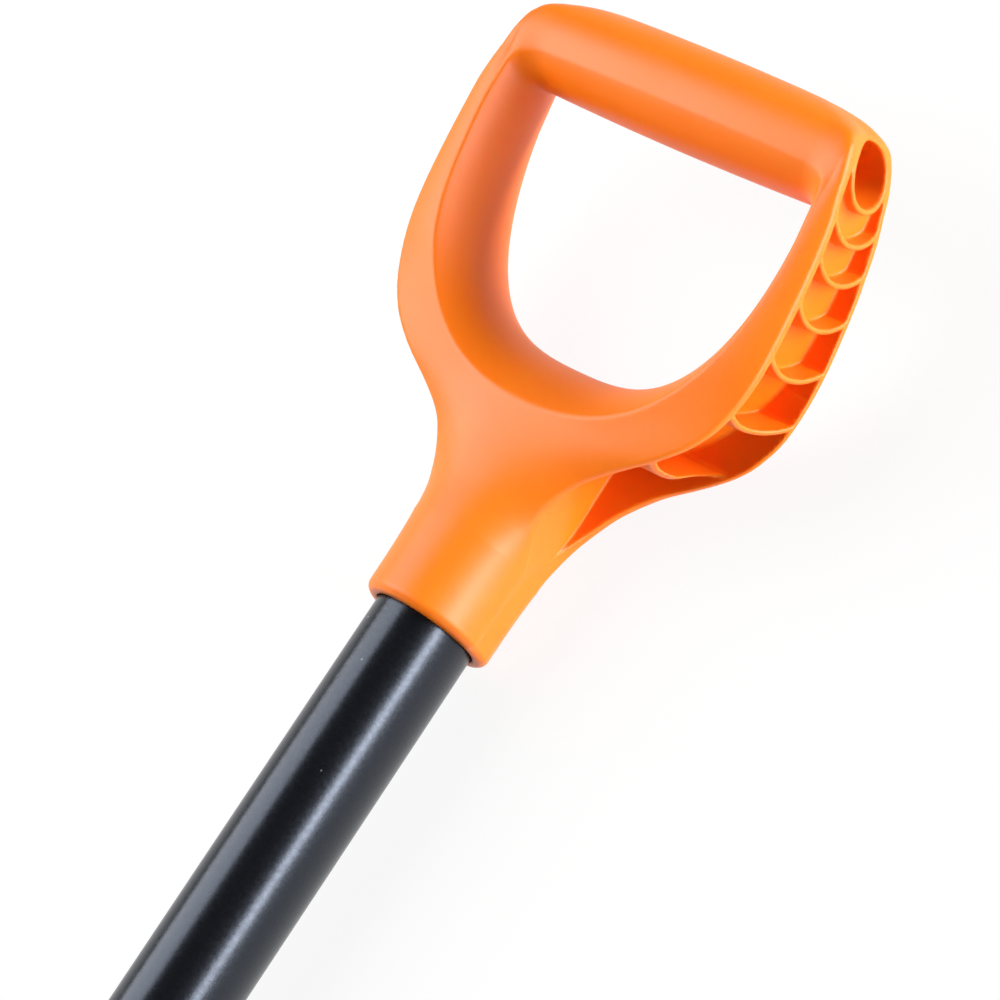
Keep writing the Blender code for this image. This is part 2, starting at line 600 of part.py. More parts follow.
def build_blade():
    blade = add_part("blade", blade_sheet(), black_plastic, blade_frame)
    thicken = blade.modifiers.new("sheet", "SOLIDIFY")
    thicken.thickness = BLADE_SHEET
    thicken.offset = -1
    thicken.use_even_offset = True

    # Everything behind the sheet is trimmed by the space in front of it
    path = blade_path()
    middle = BLADE_SHEET / 2
    front = [(y + middle * math.sin(a), z - middle * math.cos(a)) for y, z, a, _ in path]
    first, last = front[0], front[-1]
    ahead, ceiling = first[0] - BLADE_WIDTH, last[1] + BLADE_WIDTH
    space = [(ahead, first[1])] + front + [(last[0], ceiling), (ahead, ceiling)]
    trim = add_cutter("front_space", prism_x("front_space", space, -BLADE_WIDTH, BLADE_WIDTH),
                      blade_frame)
    socket = build_blade_socket(path)

    # Back ribs follow the arc, and the two heel pads carry the tool when it lies down
    low = -BLADE_EDGE_SLOPE + BACK_RIB_FROM_FLAT / BLADE_RADIUS
    high = BLADE_TOP_SLOPE - BACK_RIB_FROM_TOP / BLADE_RADIUS
    leans = [low + (high - low) * i / BACK_RIB_STEPS for i in range(BACK_RIB_STEPS + 1)]
    outer = [behind_blade(lean, BLADE_SHEET + HEEL_PAD_HEIGHT) for lean in leans]
    inner = [behind_blade(lean, BLADE_SHEET - BACK_RIB_ROOT) for lean in leans]
    first_rib = GUSSET_SPREAD - BACK_RIB_IN_GUSSET
    for k, place in enumerate((first_rib, first_rib + BACK_RIB_PITCH,
                               BLADE_WIDTH / 2 - BACK_RIB_FROM_SIDE), 1):
        for side, name in ((-1, "left"), (1, "right")):
            half = BACK_RIB_WIDTH / 2
            rib = prism_x(f"back_rib_{name}_{k}", outer + inner[::-1],
                          side * place - half, side * place + half)
            combine(blade, add_cutter(f"back_rib_{name}_{k}", rib, blade_frame), "UNION")
    pad_at = BLADE_WIDTH / 2 - HEEL_PAD_FROM_SIDE
    half = HEEL_PAD_LENGTH / 2
    curve_rise = BLADE_RADIUS - math.sqrt(BLADE_RADIUS ** 2 - half ** 2)
    pad_top = SHEET_BACK + curve_rise + BACK_RIB_ROOT
    pad = [(-half, 0.0), (half, 0.0), (half, pad_top), (-half, pad_top)]
    for side, name in ((-1, "left"), (1, "right")):
        form = prism_x(f"heel_pad_{name}", pad, side * pad_at - HEEL_PAD_WIDTH / 2,
                       side * pad_at + HEEL_PAD_WIDTH / 2)
        combine(blade, add_cutter(f"heel_pad_{name}", form, blade_frame), "UNION")
    combine(socket, trim, "DIFFERENCE")
    combine(blade, socket, "UNION")

    # Rolled rim along the top edge
    y, z, lean, length = path[-1]
    half = blade_half_width(length - CORNER_CUT, length)
    centre = (y + middle * math.sin(lean), z - middle * math.cos(lean))
    roll = add_cutter("top_rim", round_bar_x("top_rim", RIM_RADIUS, -half, half, 16, centre), blade_frame)
    combine(blade, roll, "UNION")

    bore = oval_bar("blade_bore", SHAFT_HALF_WIDTH + FIT, SHAFT_HALF_DEPTH + FIT,
                    SHAFT_START - FIT, SHAFT_START + SOCKET_LENGTH + PAST)
    combine(blade, add_cutter("blade_bore", bore, axis_frame), "DIFFERENCE")
    across = BOSS_FACE + PAST
    for k, place in enumerate(BOLT_PLACES, 1):
        hole = round_bar_x(f"socket_bolt_hole_{k}", BOLT_RADIUS + HOLE_FIT, -across, across, 24,
                           (0.0, SHAFT_START + place))
        combine(blade, add_cutter(f"socket_bolt_hole_{k}", hole, axis_frame), "DIFFERENCE")
    for hole in rivet_holes:
        combine(blade, hole, "DIFFERENCE")


def rivet_places():
    span = BLADE_WIDTH - 2 * RIVET_END_MARGIN
    return [-span / 2 + span * k / (RIVET_COUNT - 1) for k in range(RIVET_COUNT)]


def build_wear_edge():
    """Strip, rivets and washers, in a frame on the front face at the blade's edge."""
    strip_z = -BLADE_SHEET - FIT - STRIP_THICKNESS / 2
    mesh = bpy.data.meshes.new("wear_edge")
    shape = bmesh.new()
    bmesh.ops.create_cube(shape, size=1.0)
    bmesh.ops.scale(shape, vec=(BLADE_WIDTH, STRIP_WIDTH, STRIP_THICKNESS), verts=shape.verts)
    bmesh.ops.translate(shape, vec=(0, STRIP_WIDTH / 2 - STRIP_OVERHANG, strip_z), verts=shape.verts)
    shape.to_mesh(mesh)
    shape.free()
    strip = add_part("wear_edge", mesh, steel, edge_frame)
    head_seat = WASHER_THICKNESS + 2 * FIT
    tail_seat = -BLADE_SHEET - STRIP_THICKNESS - 2 * FIT
    for k, x in enumerate(rivet_places(), 1):
        hole = rivet_holes[k - 1]
        combine(strip, hole, "DIFFERENCE")
        place = (x, RIVET_ROW, 0.0)
        tail_end = tail_seat - RIVET_TAIL_HEIGHT
        profile = dome(RIVET_HEAD_RADIUS, RIVET_HEAD_HEIGHT, head_seat)
        profile += [(RIVET_RADIUS, head_seat), (RIVET_RADIUS, tail_seat), (RIVET_TAIL_RADIUS, tail_seat),
                    (RIVET_TAIL_RADIUS - RIVET_TAIL_CHAMFER, tail_end), (0.0, tail_end)]
        turned = lathe(f"wear_rivet_{k}", profile, RIVET_SEGMENTS)
        rivet = add_part(f"wear_rivet_{k}", turned, aluminium, edge_frame)
        rivet.location = place
        low, high = FIT, FIT + WASHER_THICKNESS
        ring = [(RIVET_RADIUS + HOLE_FIT, high), (WASHER_RADIUS, high), (WASHER_RADIUS, low),
                (RIVET_RADIUS + HOLE_FIT, low)]
        turned = lathe(f"wear_washer_{k}", ring, RIVET_SEGMENTS)
        washer = add_part(f"wear_washer_{k}", turned, aluminium, edge_frame)
        washer.location = place


def build_bolts():
    """Two bolts across the socket, each with two washers and a nut."""
    for k, place in enumerate(BOLT_PLACES, 1):
        at = (0.0, 0.0, SHAFT_START + place)
        washer_in = BOSS_FACE + FIT
        washer_out = washer_in + BOLT_WASHER_THICKNESS
        head = washer_out + FIT
        nut = -(washer_out + FIT)
        end = nut - NUT_HEIGHT - BOLT_TAIL
        profile = dome(BOLT_HEAD_RADIUS, BOLT_HEAD_HEIGHT, head)
        profile += [(BOLT_RADIUS, head), (BOLT_RADIUS, end + BOLT_POINT), (BOLT_RADIUS - BOLT_POINT, end),
                    (0.0, end)]
        turned = lathe(f"socket_bolt_{k}", profile, BOLT_SEGMENTS)
        bolt = add_part(f"socket_bolt_{k}", turned, zinc, axis_frame)
        bolt.location = at
        bolt.rotation_euler = (0, math.radians(90), 0)
        for side, name in ((1, "head"), (-1, "nut")):
            low, high = sorted((side * washer_in, side * washer_out))
            ring = [(BOLT_RADIUS + HOLE_FIT, high), (BOLT_WASHER_RADIUS, high),
                    (BOLT_WASHER_RADIUS, low), (BOLT_RADIUS + HOLE_FIT, low)]
            turned = lathe(f"bolt_washer_{name}_{k}", ring, BOLT_SEGMENTS)
            washer = add_part(f"bolt_washer_{name}_{k}", turned, zinc, axis_frame)
            washer.location = at
            washer.rotation_euler = (0, math.radians(90), 0)
        shape = bmesh.new()
        bmesh.ops.create_cone(shape, cap_ends=True, segments=6, radius1=NUT_ACROSS_CORNERS / 2,
                              radius2=NUT_ACROSS_CORNERS / 2, depth=NUT_HEIGHT)
        bmesh.ops.translate(shape, vec=(0, 0, nut - NUT_HEIGHT / 2), verts=shape.verts)
        hex_nut = add_part(f"socket_nut_{k}", finish_mesh(f"socket_nut_{k}", shape), zinc, axis_frame)
        hex_nut.location = at
        hex_nut.rotation_euler = (0, math.radians(90), 0)
        shape = bmesh.new()
        bmesh.ops.create_cone(shape, cap_ends=True, segments=24, radius1=BOLT_RADIUS + HOLE_FIT,
                              radius2=BOLT_RADIUS + HOLE_FIT, depth=4 * NUT_HEIGHT)
        bmesh.ops.translate(shape, vec=(0, 0, nut - NUT_HEIGHT / 2), verts=shape.verts)
        thread = add_cutter(f"nut_thread_{k}", finish_mesh(f"nut_thread_{k}", shape), axis_frame)
        thread.location = at
        thread.rotation_euler = (0, math.radians(90), 0)
        combine(hex_nut, thread, "DIFFERENCE")


def frame_empty(name, location, tilt, parent=None):
    """Empty turned about X, which carries the pieces of one frame."""
    empty = bpy.data.objects.new(name, None)
    parts.objects.link(empty)
    empty.parent = parent
    empty.location = location
    empty.rotation_euler = (tilt, 0, 0)
    return empty


clear_scene()
parts = new_collection("snow_pusher")
cutters = new_collection("cutters")

orange = make_material("grip_polypropylene", (0.95, 0.22, 0.01), 0.42)
black_paint = make_material("shaft_powder_coat", (0.016, 0.018, 0.022), 0.38)
black_plastic = make_material("blade_polypropylene", (0.02, 0.021, 0.023), 0.5)
steel = make_material("wear_edge_steel", (0.55, 0.55, 0.55), 0.35, 1.0)
aluminium = make_material("rivet_aluminium", (0.75, 0.76, 0.77), 0.35, 1.0)
zinc = make_material("fastener_zinc", (0.62, 0.63, 0.64), 0.32, 1.0)
nylon = make_material("core_nylon", (0.7, 0.68, 0.62), 0.5)

# The shaft's axis, with Z along it; the blade's frame has its lowest line at y = 0
axis_frame = frame_empty("axis_frame", (0, -MIDDLE, AXIS_HEIGHT), math.radians(-90))
blade_frame = frame_empty("blade_frame", (0, -MIDDLE, 0), 0.0)
shaft_frame = frame_empty("shaft_frame", (0, 0, SHAFT_START), 0.0, axis_frame)
grip_frame = frame_empty("grip_frame", (0, 0, COLLAR_FROM_BLADE), 0.0, axis_frame)
(bar_y, bar_z), _ = spine(RING_DATUM + BAR_HEIGHT)
ring_frame = frame_empty("ring_frame", (0, bar_y + BAR_HEIGHT * math.sin(RING_CANT),
                                        bar_z - BAR_HEIGHT * math.cos(RING_CANT)), RING_CANT, grip_frame)
screw_frame = frame_empty("screw_frame", (0, 0, SCREW_FROM_MOUTH), math.radians(-90), grip_frame)
edge_y, edge_z, _, _ = blade_path()[0]
edge_frame = frame_empty("edge_frame", (0, edge_y, edge_z), -BLADE_EDGE_SLOPE, blade_frame)

rivet_holes = []
for k, x in enumerate(rivet_places(), 1):
    form = lathe(f"rivet_hole_{k}", [(0.0, PAST), (RIVET_RADIUS + HOLE_FIT, PAST),
                                     (RIVET_RADIUS + HOLE_FIT, -PAST), (0.0, -PAST)], RIVET_SEGMENTS)
    hole = add_cutter(f"rivet_hole_{k}", form, edge_frame)
    hole.location = (x, RIVET_ROW, 0.0)
    rivet_holes.append(hole)

screw_hole = build_grip()
build_grip_screw()
build_shaft(screw_hole)
build_blade()
build_wear_edge()
build_bolts()
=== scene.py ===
"""Snow pusher: how it looks. Orange D-grip on a black oval shaft, curved blade with a steel wear edge."""

import math

import bmesh
import bpy
import numpy as np
from mathutils import Matrix, Vector


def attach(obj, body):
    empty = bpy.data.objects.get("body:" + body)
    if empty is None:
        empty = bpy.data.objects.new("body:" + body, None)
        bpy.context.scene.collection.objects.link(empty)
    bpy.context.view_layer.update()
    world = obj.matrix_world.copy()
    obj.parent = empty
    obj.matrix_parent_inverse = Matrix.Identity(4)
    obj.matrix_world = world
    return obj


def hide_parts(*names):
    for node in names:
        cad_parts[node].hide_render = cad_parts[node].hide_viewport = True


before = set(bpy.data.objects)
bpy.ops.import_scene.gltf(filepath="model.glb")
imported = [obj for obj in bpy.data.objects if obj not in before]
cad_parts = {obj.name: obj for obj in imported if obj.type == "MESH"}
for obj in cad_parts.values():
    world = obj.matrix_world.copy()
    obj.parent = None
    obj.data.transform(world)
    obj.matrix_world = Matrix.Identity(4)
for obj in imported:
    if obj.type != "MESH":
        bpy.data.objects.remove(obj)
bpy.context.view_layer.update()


# Shaft
# Drawn oval aluminium tube, cut square and slightly broken at both ends, under a satin black
# powder coat. It is glued and screwed into the grip and bolted into the blade's socket.
SHAFT_HALF_WIDTH = 0.0145
SHAFT_HALF_DEPTH = 0.0180
SHAFT_WALL = 0.0015
SHAFT_AXIS_HEIGHT = 0.0230
SHAFT_LENGTH = 1.150
SHAFT_HIGH_END = 0.6411252      # along the tool, from the middle of its length
SHAFT_LOW_END = SHAFT_HIGH_END - SHAFT_LENGTH
SHAFT_EDGE_BREAK = 0.0003
SHAFT_POINTS = 144
SHAFT_RINGS = 24
BOLT_PLACES = (SHAFT_LOW_END + 0.060, SHAFT_LOW_END + 0.105)
BOLT_HOLE_RADIUS = 0.0033
GRIP_MOUTH = SHAFT_HIGH_END - 0.058     # the grip collar's end, along the tool
SCREW_FROM_MOUTH = 0.0300
SCREW_HOLE_RADIUS = 0.0024
DRILL_SEGMENTS = 32


def paint(code):
    """An sRGB hex colour as linear RGBA."""
    parts = [int(code[i:i + 2], 16) / 255 for i in (1, 3, 5)]
    return [c / 12.92 if c <= 0.04045 else ((c + 0.055) / 1.055) ** 2.4 for c in parts] + [1.0]


def set_inputs(node, inputs):
    """Inputs set to values, or linked from a socket or from another node's first output in use."""
    for key, value in inputs.items():
        if isinstance(value, bpy.types.Node):
            value = next(socket for socket in value.outputs if socket.enabled)
        if isinstance(value, bpy.types.NodeSocket):
            node.id_data.links.new(value, node.inputs[key])
        else:
            node.inputs[key].default_value = value


def add_node(tree, kind, inputs=None, **settings):
    """A node with its settings, and its inputs set or linked."""
    node = tree.nodes.new(kind)
    for key, value in settings.items():
        setattr(node, key, value)
    set_inputs(node, inputs or {})
    return node


def new_finish(name):
    """An empty material, its node tree and the coordinates of its piece."""
    material = bpy.data.materials.new(name)
    material.use_nodes = True
    tree = material.node_tree
    return material, tree, add_node(tree, "ShaderNodeTexCoord").outputs["Object"]


def set_surface(tree, tone, colours, shine, relief, constants, span=(0.3, 0.7)):
    """The shader's colour along a pattern of tone, its roughness and its relief. Shine is (pattern,
    roughness at the span's low end, at its high end) and relief is (pattern, strength, distance)."""
    first, second = (paint(colour) if isinstance(colour, str) else colour for colour in colours)
    inputs = {"Base Color": add_node(tree, "ShaderNodeMix", {"Factor": tone, "A": first, "B": second},
                                     data_type="RGBA")}
    if shine:
        inputs["Roughness"] = add_node(tree, "ShaderNodeMapRange", {
            "Value": shine[0], "From Min": span[0], "From Max": span[1],
            "To Min": shine[1], "To Max": shine[2]})
    if relief:
        inputs["Normal"] = add_node(tree, "ShaderNodeBump", {
            "Height": relief[0], "Strength": relief[1], "Distance": relief[2]})
    set_inputs(tree.nodes["Principled BSDF"], {**inputs, **constants})


def powder_coat():
    """Satin black polyester powder coat: near black, soft sheen, faint orange peel and fine specks of painted
    glint.
    """
    material, tree, place = new_finish("satin_black_powder_coat")
    # Orange peel of baked powder is 1 to 2 mm across and some microns deep
    peel = add_node(tree, "ShaderNodeTexNoise", {"Vector": place, "Scale": 700.0, "Detail": 2.0})
    # Painted glints: rare lighter grey specks where single coarse powder grains would catch the light, about
    # 0.5 mm wide
    grains = add_node(tree, "ShaderNodeTexVoronoi", {"Vector": place, "Scale": 260.0, "Randomness": 1.0})
    painted_glint = add_node(tree, "ShaderNodeMapRange", {"Value": grains, "From Min": 0.10, "From Max": 0.055})
    chance = add_node(tree, "ShaderNodeSeparateColor", {"Color": grains.outputs["Color"]})
    rare = add_node(tree, "ShaderNodeMath", {0: chance, 1: 0.94}, operation="GREATER_THAN")
    painted_glint = add_node(tree, "ShaderNodeMath", {0: painted_glint, 1: rare}, operation="MULTIPLY")
    # Near black, lighter grey in the specks of painted glint
    set_surface(tree, painted_glint, ("#0B0C0F", "#8E9096"), (peel, 0.25, 0.30), (peel, 0.12, 0.0002),
                {"IOR": 1.5, "Specular Tint": paint("#DCE8FF")})
    return material


def add_object(name, data):
    """An object at the origin, linked into the scene."""
    item = bpy.data.objects.new(name, data)
    bpy.context.scene.collection.objects.link(item)
    return item


def place_piece(name, mesh, material, slot, *nodes):
    """The finished piece at the origin, on the tool's one rigid body, standing for its CAD nodes."""
    piece = add_object(name, mesh)
    mesh.materials.clear()
    mesh.materials.append(material)
    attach(piece, "root")
    if nodes:
        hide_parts(*nodes)


def full_turn(count):
    """Evenly spaced angles round a circle."""
    return [2 * math.pi * i / count for i in range(count)]


def add_quads(shape, rows, ring=True, caps=False):
    """Faces from each row of vertices to the next. A row is a closed ring, and caps close the ends."""
    for low, high in zip(rows, rows[1:]):
        for i in range(len(low) if ring else len(low) - 1):
            j = (i + 1) % len(low)
            shape.faces.new((low[i], low[j], high[j], high[i]))
    if caps:
        shape.faces.new(rows[0][::-1])
        shape.faces.new(rows[-1])


def mesh_from(shape, name, closed=True):
    """The finished bmesh as a mesh, the faces of a closed one turned outwards."""
    if closed:
        bmesh.ops.recalc_face_normals(shape, faces=shape.faces)
    mesh = bpy.data.meshes.new(name)
    shape.to_mesh(mesh)
    shape.free()
    return mesh


def cut_out(item, name, tool):
    """Take a closed mesh away from an object, as a modifier that finished_mesh applies."""
    cut = item.modifiers.new(name, "BOOLEAN")
    cut.object = add_object(name, tool)
    cut.operation = "DIFFERENCE"
    cut.solver = "EXACT"


def finished_mesh(item, name, smooth_angle=40):
    """The evaluated mesh of an object, smooth shaded; the object and its cutters are removed."""
    bpy.context.view_layer.update()
    mesh = bpy.data.meshes.new_from_object(item.evaluated_get(bpy.context.evaluated_depsgraph_get()))
    mesh.name = name
    cutters = [step.object for step in item.modifiers if step.type == "BOOLEAN"]
    for used in [item, *cutters]:
        bpy.data.objects.remove(used, do_unlink=True)
    mesh.shade_smooth()
    mesh.set_sharp_from_angle(angle=math.radians(smooth_angle))
    return mesh


def drilled(name, mesh, holes, smooth_angle=35):
    """A mesh with round holes through it: each is (radius, centre, length, axis)."""
    item = add_object(f"{name}_form", mesh)
    drills = bmesh.new()
    for radius, centre, length, axis in holes:
        turn = Vector((0, 0, 1)).rotation_difference(Vector(axis)).to_matrix().to_4x4()
        bmesh.ops.create_cone(drills, cap_ends=True, segments=DRILL_SEGMENTS, radius1=radius,
                              radius2=radius, depth=length, matrix=Matrix.Translation(centre) @ turn)
    cut_out(item, f"{name}_drills", mesh_from(drills, f"{name}_drills"))
    return finished_mesh(item, name, smooth_angle)


def build_shaft():
    edge, low, high = SHAFT_EDGE_BREAK, SHAFT_LOW_END, SHAFT_HIGH_END
    out_w, out_d = SHAFT_HALF_WIDTH, SHAFT_HALF_DEPTH
    in_w, in_d = out_w - SHAFT_WALL, out_d - SHAFT_WALL
    step = (SHAFT_LENGTH - 2 * edge) / SHAFT_RINGS
    stations = [(out_w - edge, out_d - edge, low)]
    stations += [(out_w, out_d, low + edge + step * k) for k in range(SHAFT_RINGS + 1)]
    stations += [(out_w - edge, out_d - edge, high), (in_w + edge, in_d + edge, high),
                 (in_w, in_d, high - edge), (in_w, in_d, low + edge), (in_w + edge, in_d + edge, low)]
    shape = bmesh.new()
    rows = [[shape.verts.new((w * math.cos(a), y, SHAFT_AXIS_HEIGHT + d * math.sin(a)))
             for a in full_turn(SHAFT_POINTS)] for w, d, y in stations]
    add_quads(shape, rows + rows[:1])
    holes = [(BOLT_HOLE_RADIUS, (0, y, SHAFT_AXIS_HEIGHT), 4 * out_w, (1, 0, 0)) for y in BOLT_PLACES]
    holes.append((SCREW_HOLE_RADIUS, (0, GRIP_MOUTH + SCREW_FROM_MOUTH, 0), out_d, (0, 0, 1)))
    mesh = drilled("oval_shaft", mesh_from(shape, "oval_shaft"), holes)
    place_piece("oval_shaft", mesh, powder_coat(), "shaft", "shaft_tube")


build_shaft()


# D-grip
# One hollow injection moulding in orange polypropylene: a collar over the shaft, a spread socket,
# a ring round the hand opening and a barrel cross bar. Its sides are open channels with thin
# curved ribs between two flanges. The skin has the fine grain of a spark-eroded mould.
GRIP_STATIONS = (               # along the spine: distance, half width, half depth at edge and centre
    (0.0260, 0.0186, 0.0035, 0.0230), (0.0320, 0.0186, 0.0080, 0.0228), (0.0380, 0.0190, 0.0118, 0.0226),
    (0.0464, 0.0215, 0.0147, 0.0224), (0.0555, 0.0271, 0.0156, 0.0220), (0.0622, 0.0347, 0.0166, 0.0217),
    (0.0686, 0.0430, 0.0176, 0.0215), (0.0762, 0.0509, 0.0176, 0.0225), (0.0851, 0.0568, 0.0169, 0.0241),
    (0.0939, 0.0603, 0.0164, 0.0260), (0.1030, 0.0623, 0.0162, 0.0280), (0.1120, 0.0631, 0.0159, 0.0286),
    (0.1216, 0.0633, 0.0154, 0.0283), (0.1310, 0.0632, 0.0148, 0.0275), (0.1402, 0.0628, 0.0143, 0.0266),
    (0.1493, 0.0621, 0.0140, 0.0248), (0.1585, 0.0602, 0.0136, 0.0200), (0.1665, 0.0583, 0.0124, 0.0142),
    (0.1725, 0.0560, 0.0100, 0.0118), (0.1765, 0.0528, 0.0072, 0.0088), (0.1790, 0.0480, 0.0030, 0.0045),
    (0.1806, 0.0430, 0.0016, 0.0030), (0.1818, 0.0370, 0.0010, 0.0024), (0.1826, 0.0290, 0.0010, 0.0024))
BACK_SPREAD = (                 # along the spine: distance, and how much wider the back flange is
    (0.0260, -0.0010), (0.0380, -0.0015), (0.0460, -0.0009), (0.0520, -0.0008), (0.0555, -0.0011),
    (0.0608, -0.0025), (0.0645, -0.0034), (0.0680, -0.0027), (0.0720, -0.0013), (0.0755, 0.0001),
    (0.0800, 0.0013), (0.0860, 0.0019), (0.0917, 0.0019), (0.0970, 0.0014), (0.1050, 0.0011),
    (0.1350, 0.0012), (0.1480, 0.0007), (0.1580, 0.0008), (0.1680, 0.0003),
    (0.1725, 0.0007), (0.1765, 0.0020), (0.1806, 0.0034))
BACK_START = -0.004             # depth at which that spread begins
GRIP_TOP = 0.1745               # of the ring's body; the bar stands a little higher
COLLAR_EDGE = 0.0004            # half depth of the round collar's side at its mouth
CROWN_CHANGE = 0.0220           # length over which the round section turns into a lens
CROWN_LEAST = 0.0008            # least rise of a face from its edge to its middle
COLLAR_ROUNDING = 0.0026
EDGE_ROUNDING = 0.0011          # outer edge of the two flanges
LIP_ROUNDING = 0.0007           # inner edge of the flanges, and the ribs
SPINE_STRAIGHT = 0.034
SPINE_RADIUS = 0.168
RING_CANT = math.radians(17.4)
RING_DATUM = 0.0491
OPENING_HALF_WIDTH = 0.0558
OPENING_BOTTOM = 0.0233
OPENING_ARC_HEIGHT = 0.0690
OPENING_FULLNESS = (2.6, 2.2)
OPENING_CREASE = 0.0214         # half depth at the crease, at the bottom
OPENING_CREASE_TAPER = 0.0040
BULGE_BOTTOM = 0.0120           # how far the wall swells into the opening
BULGE_ARM = 0.0060
BULGE_FADE = 2.2                # exponent of its change up the arms
BAR_HEIGHT = 0.1179
BAR_RADIUS = 0.01410
BAR_END = 0.0576
BAR_BLEND = 0.0040              # between the bar and the ring's faces
BAR_END_ROUNDING = 0.0030
BAR_BORE_RADIUS = 0.0088
BAR_BORE_DRAFT = 0.0008         # the bores narrow towards the web in the middle
BAR_WEB = 0.0010
BAR_TUBE_RADIUS = 0.0106
BAR_TUBE_OFFSET = (0.0010, -0.0010)     # of the tube and its bore, to the back and along the ring
FLANGE = 0.0024
CHANNEL_FLOOR = (0.0023, 0.0012)        # from the crease's line out to the channels' floor, and its hollow
CHANNEL_START = 0.0262          # along the spine
ROOT_FILLET = 0.0006            # between the channels' floor, tube and cheeks
RIB_FILLET = 0.0005
RIB_THICKNESS = 0.0016
RIB_LOWS = (0.0964, 0.0852, 0.0719, 0.0566, 0.0396, 0.0190)     # lower edge of each rib, down the ring
RIB_RADII = (0.0162, 0.0180, 0.0205, 0.0250, 0.0330, 0.0350)
RIB_SHIFTS = (0.0, 0.0, 0.0, -0.0010, -0.0035, -0.0040)         # of each rib's centre, to the back
SOCKET_DEPTH = 0.0583
SOCKET_FIT = 0.0003
SOCKET_ROUNDING = 0.0004
RECESS_ROUNDING = 0.0003
SCREW_SEAT = 0.0204
SCREW_RECESS_RADIUS = 0.0043
GRIP_ORIGIN = (0.0, GRIP_MOUTH, SHAFT_AXIS_HEIGHT)      # of the grip's own frame, in the tool's
GRIP_PITCH = 0.00078            # cell size of the meshed skin, before it is thinned
GRIP_THINNING = 0.66
THINNING_REACH = 0.0001

# What changes along the grip: from where, to where, the value before it and the value after it
COLLAR_EDGES = (0.028, 0.046, 0.0, EDGE_ROUNDING)       # along the spine, rounding of the sides' edges
ARM_CROWN = (0.011, 0.017, 0.0005, 0.0)         # by the face's width, its crown on the narrow arms
CREASE_ROUNDING = (0.108, 0.117, 0.0007, 0.0035)        # up the ring; the crease fades beside the bar
BAR_END_RADIUS = (-0.006, 0.008, 0.0122, 0.0136)        # from front to back
BAR_FILLET = (-0.010, 0.006, 0.0070, 0.0010)    # from front to back, to the opening's wall
CHANNEL_FLOOR_LOW = (0.050, 0.085, 0.0018, 0.0)         # up the ring, how much further out the floor is
CHEEK_HALF_WIDTH = (-0.010, 0.014, 0.0176, 0.0162)      # from front to back, of the shaft's socket
CHEEK_FOOT = (0.026, 0.036, 0.0010, 0.0)        # along the spine, how much wider it starts
RIB_SET_BACK = (0.064, 0.086, 0.0044, 0.0)      # along the spine, of a rib's outer edge at its back end
RIB_BACK_END = (-0.004, 0.016, 0.0, 1.0)        # from front to back, share of that set-back


def spine_to_ring():
    """Origin of the ring's own frame, in the grip's frame (y back, z along the shaft)."""
    bend = SPINE_RADIUS * RING_CANT
    past = RING_DATUM - SPINE_STRAIGHT - bend
    y = -SPINE_RADIUS * (1 - math.cos(RING_CANT)) - past * math.sin(RING_CANT)
    z = SPINE_STRAIGHT + SPINE_RADIUS * math.sin(RING_CANT) + past * math.cos(RING_CANT)
    return y, z


def grip_tables():
    """Half width, edge and centre half depths and the back's spread along the spine, as even curves."""
    rows = np.array(GRIP_STATIONS)
    step, window, blur = 0.00025, 12, 5.0       # the window and the blur count steps
    at = np.arange(-0.006, 0.1880, step)
    slope = np.gradient(rows, rows[:, 0], axis=0)
    table = np.empty((len(at), 3))
    for n, t in enumerate(at):
        if t < rows[0, 0]:
            share = max(t, 0.0) / rows[0, 0]
            table[n] = rows[0, 1], COLLAR_EDGE + (rows[0, 2] - COLLAR_EDGE) * share ** 3, rows[0, 3]
            continue
        t = min(t, rows[-1, 0])
        i = min(int(np.searchsorted(rows[:, 0], t, side="right")) - 1, len(rows) - 2)
        span = rows[i + 1, 0] - rows[i, 0]
        u = (t - rows[i, 0]) / span
        curve = ((1 + 2 * u) * (1 - u) ** 2 * rows[i] + u * (1 - u) ** 2 * span * slope[i]
                 + u * u * (3 - 2 * u) * rows[i + 1] + u * u * (u - 1) * span * slope[i + 1])
        table[n] = curve[1:]
    table = np.column_stack([table, np.interp(at, *zip(*BACK_SPREAD))])
    weights = np.exp(-0.5 * (np.arange(-window, window + 1) / blur) ** 2)
    weights /= weights.sum()
    padded = np.pad(table, ((window, window), (0, 0)), mode="edge")
    table = np.stack([np.convolve(column, weights, mode="valid") for column in padded.T], 1)
    return at, table, np.gradient(table, at, axis=0)


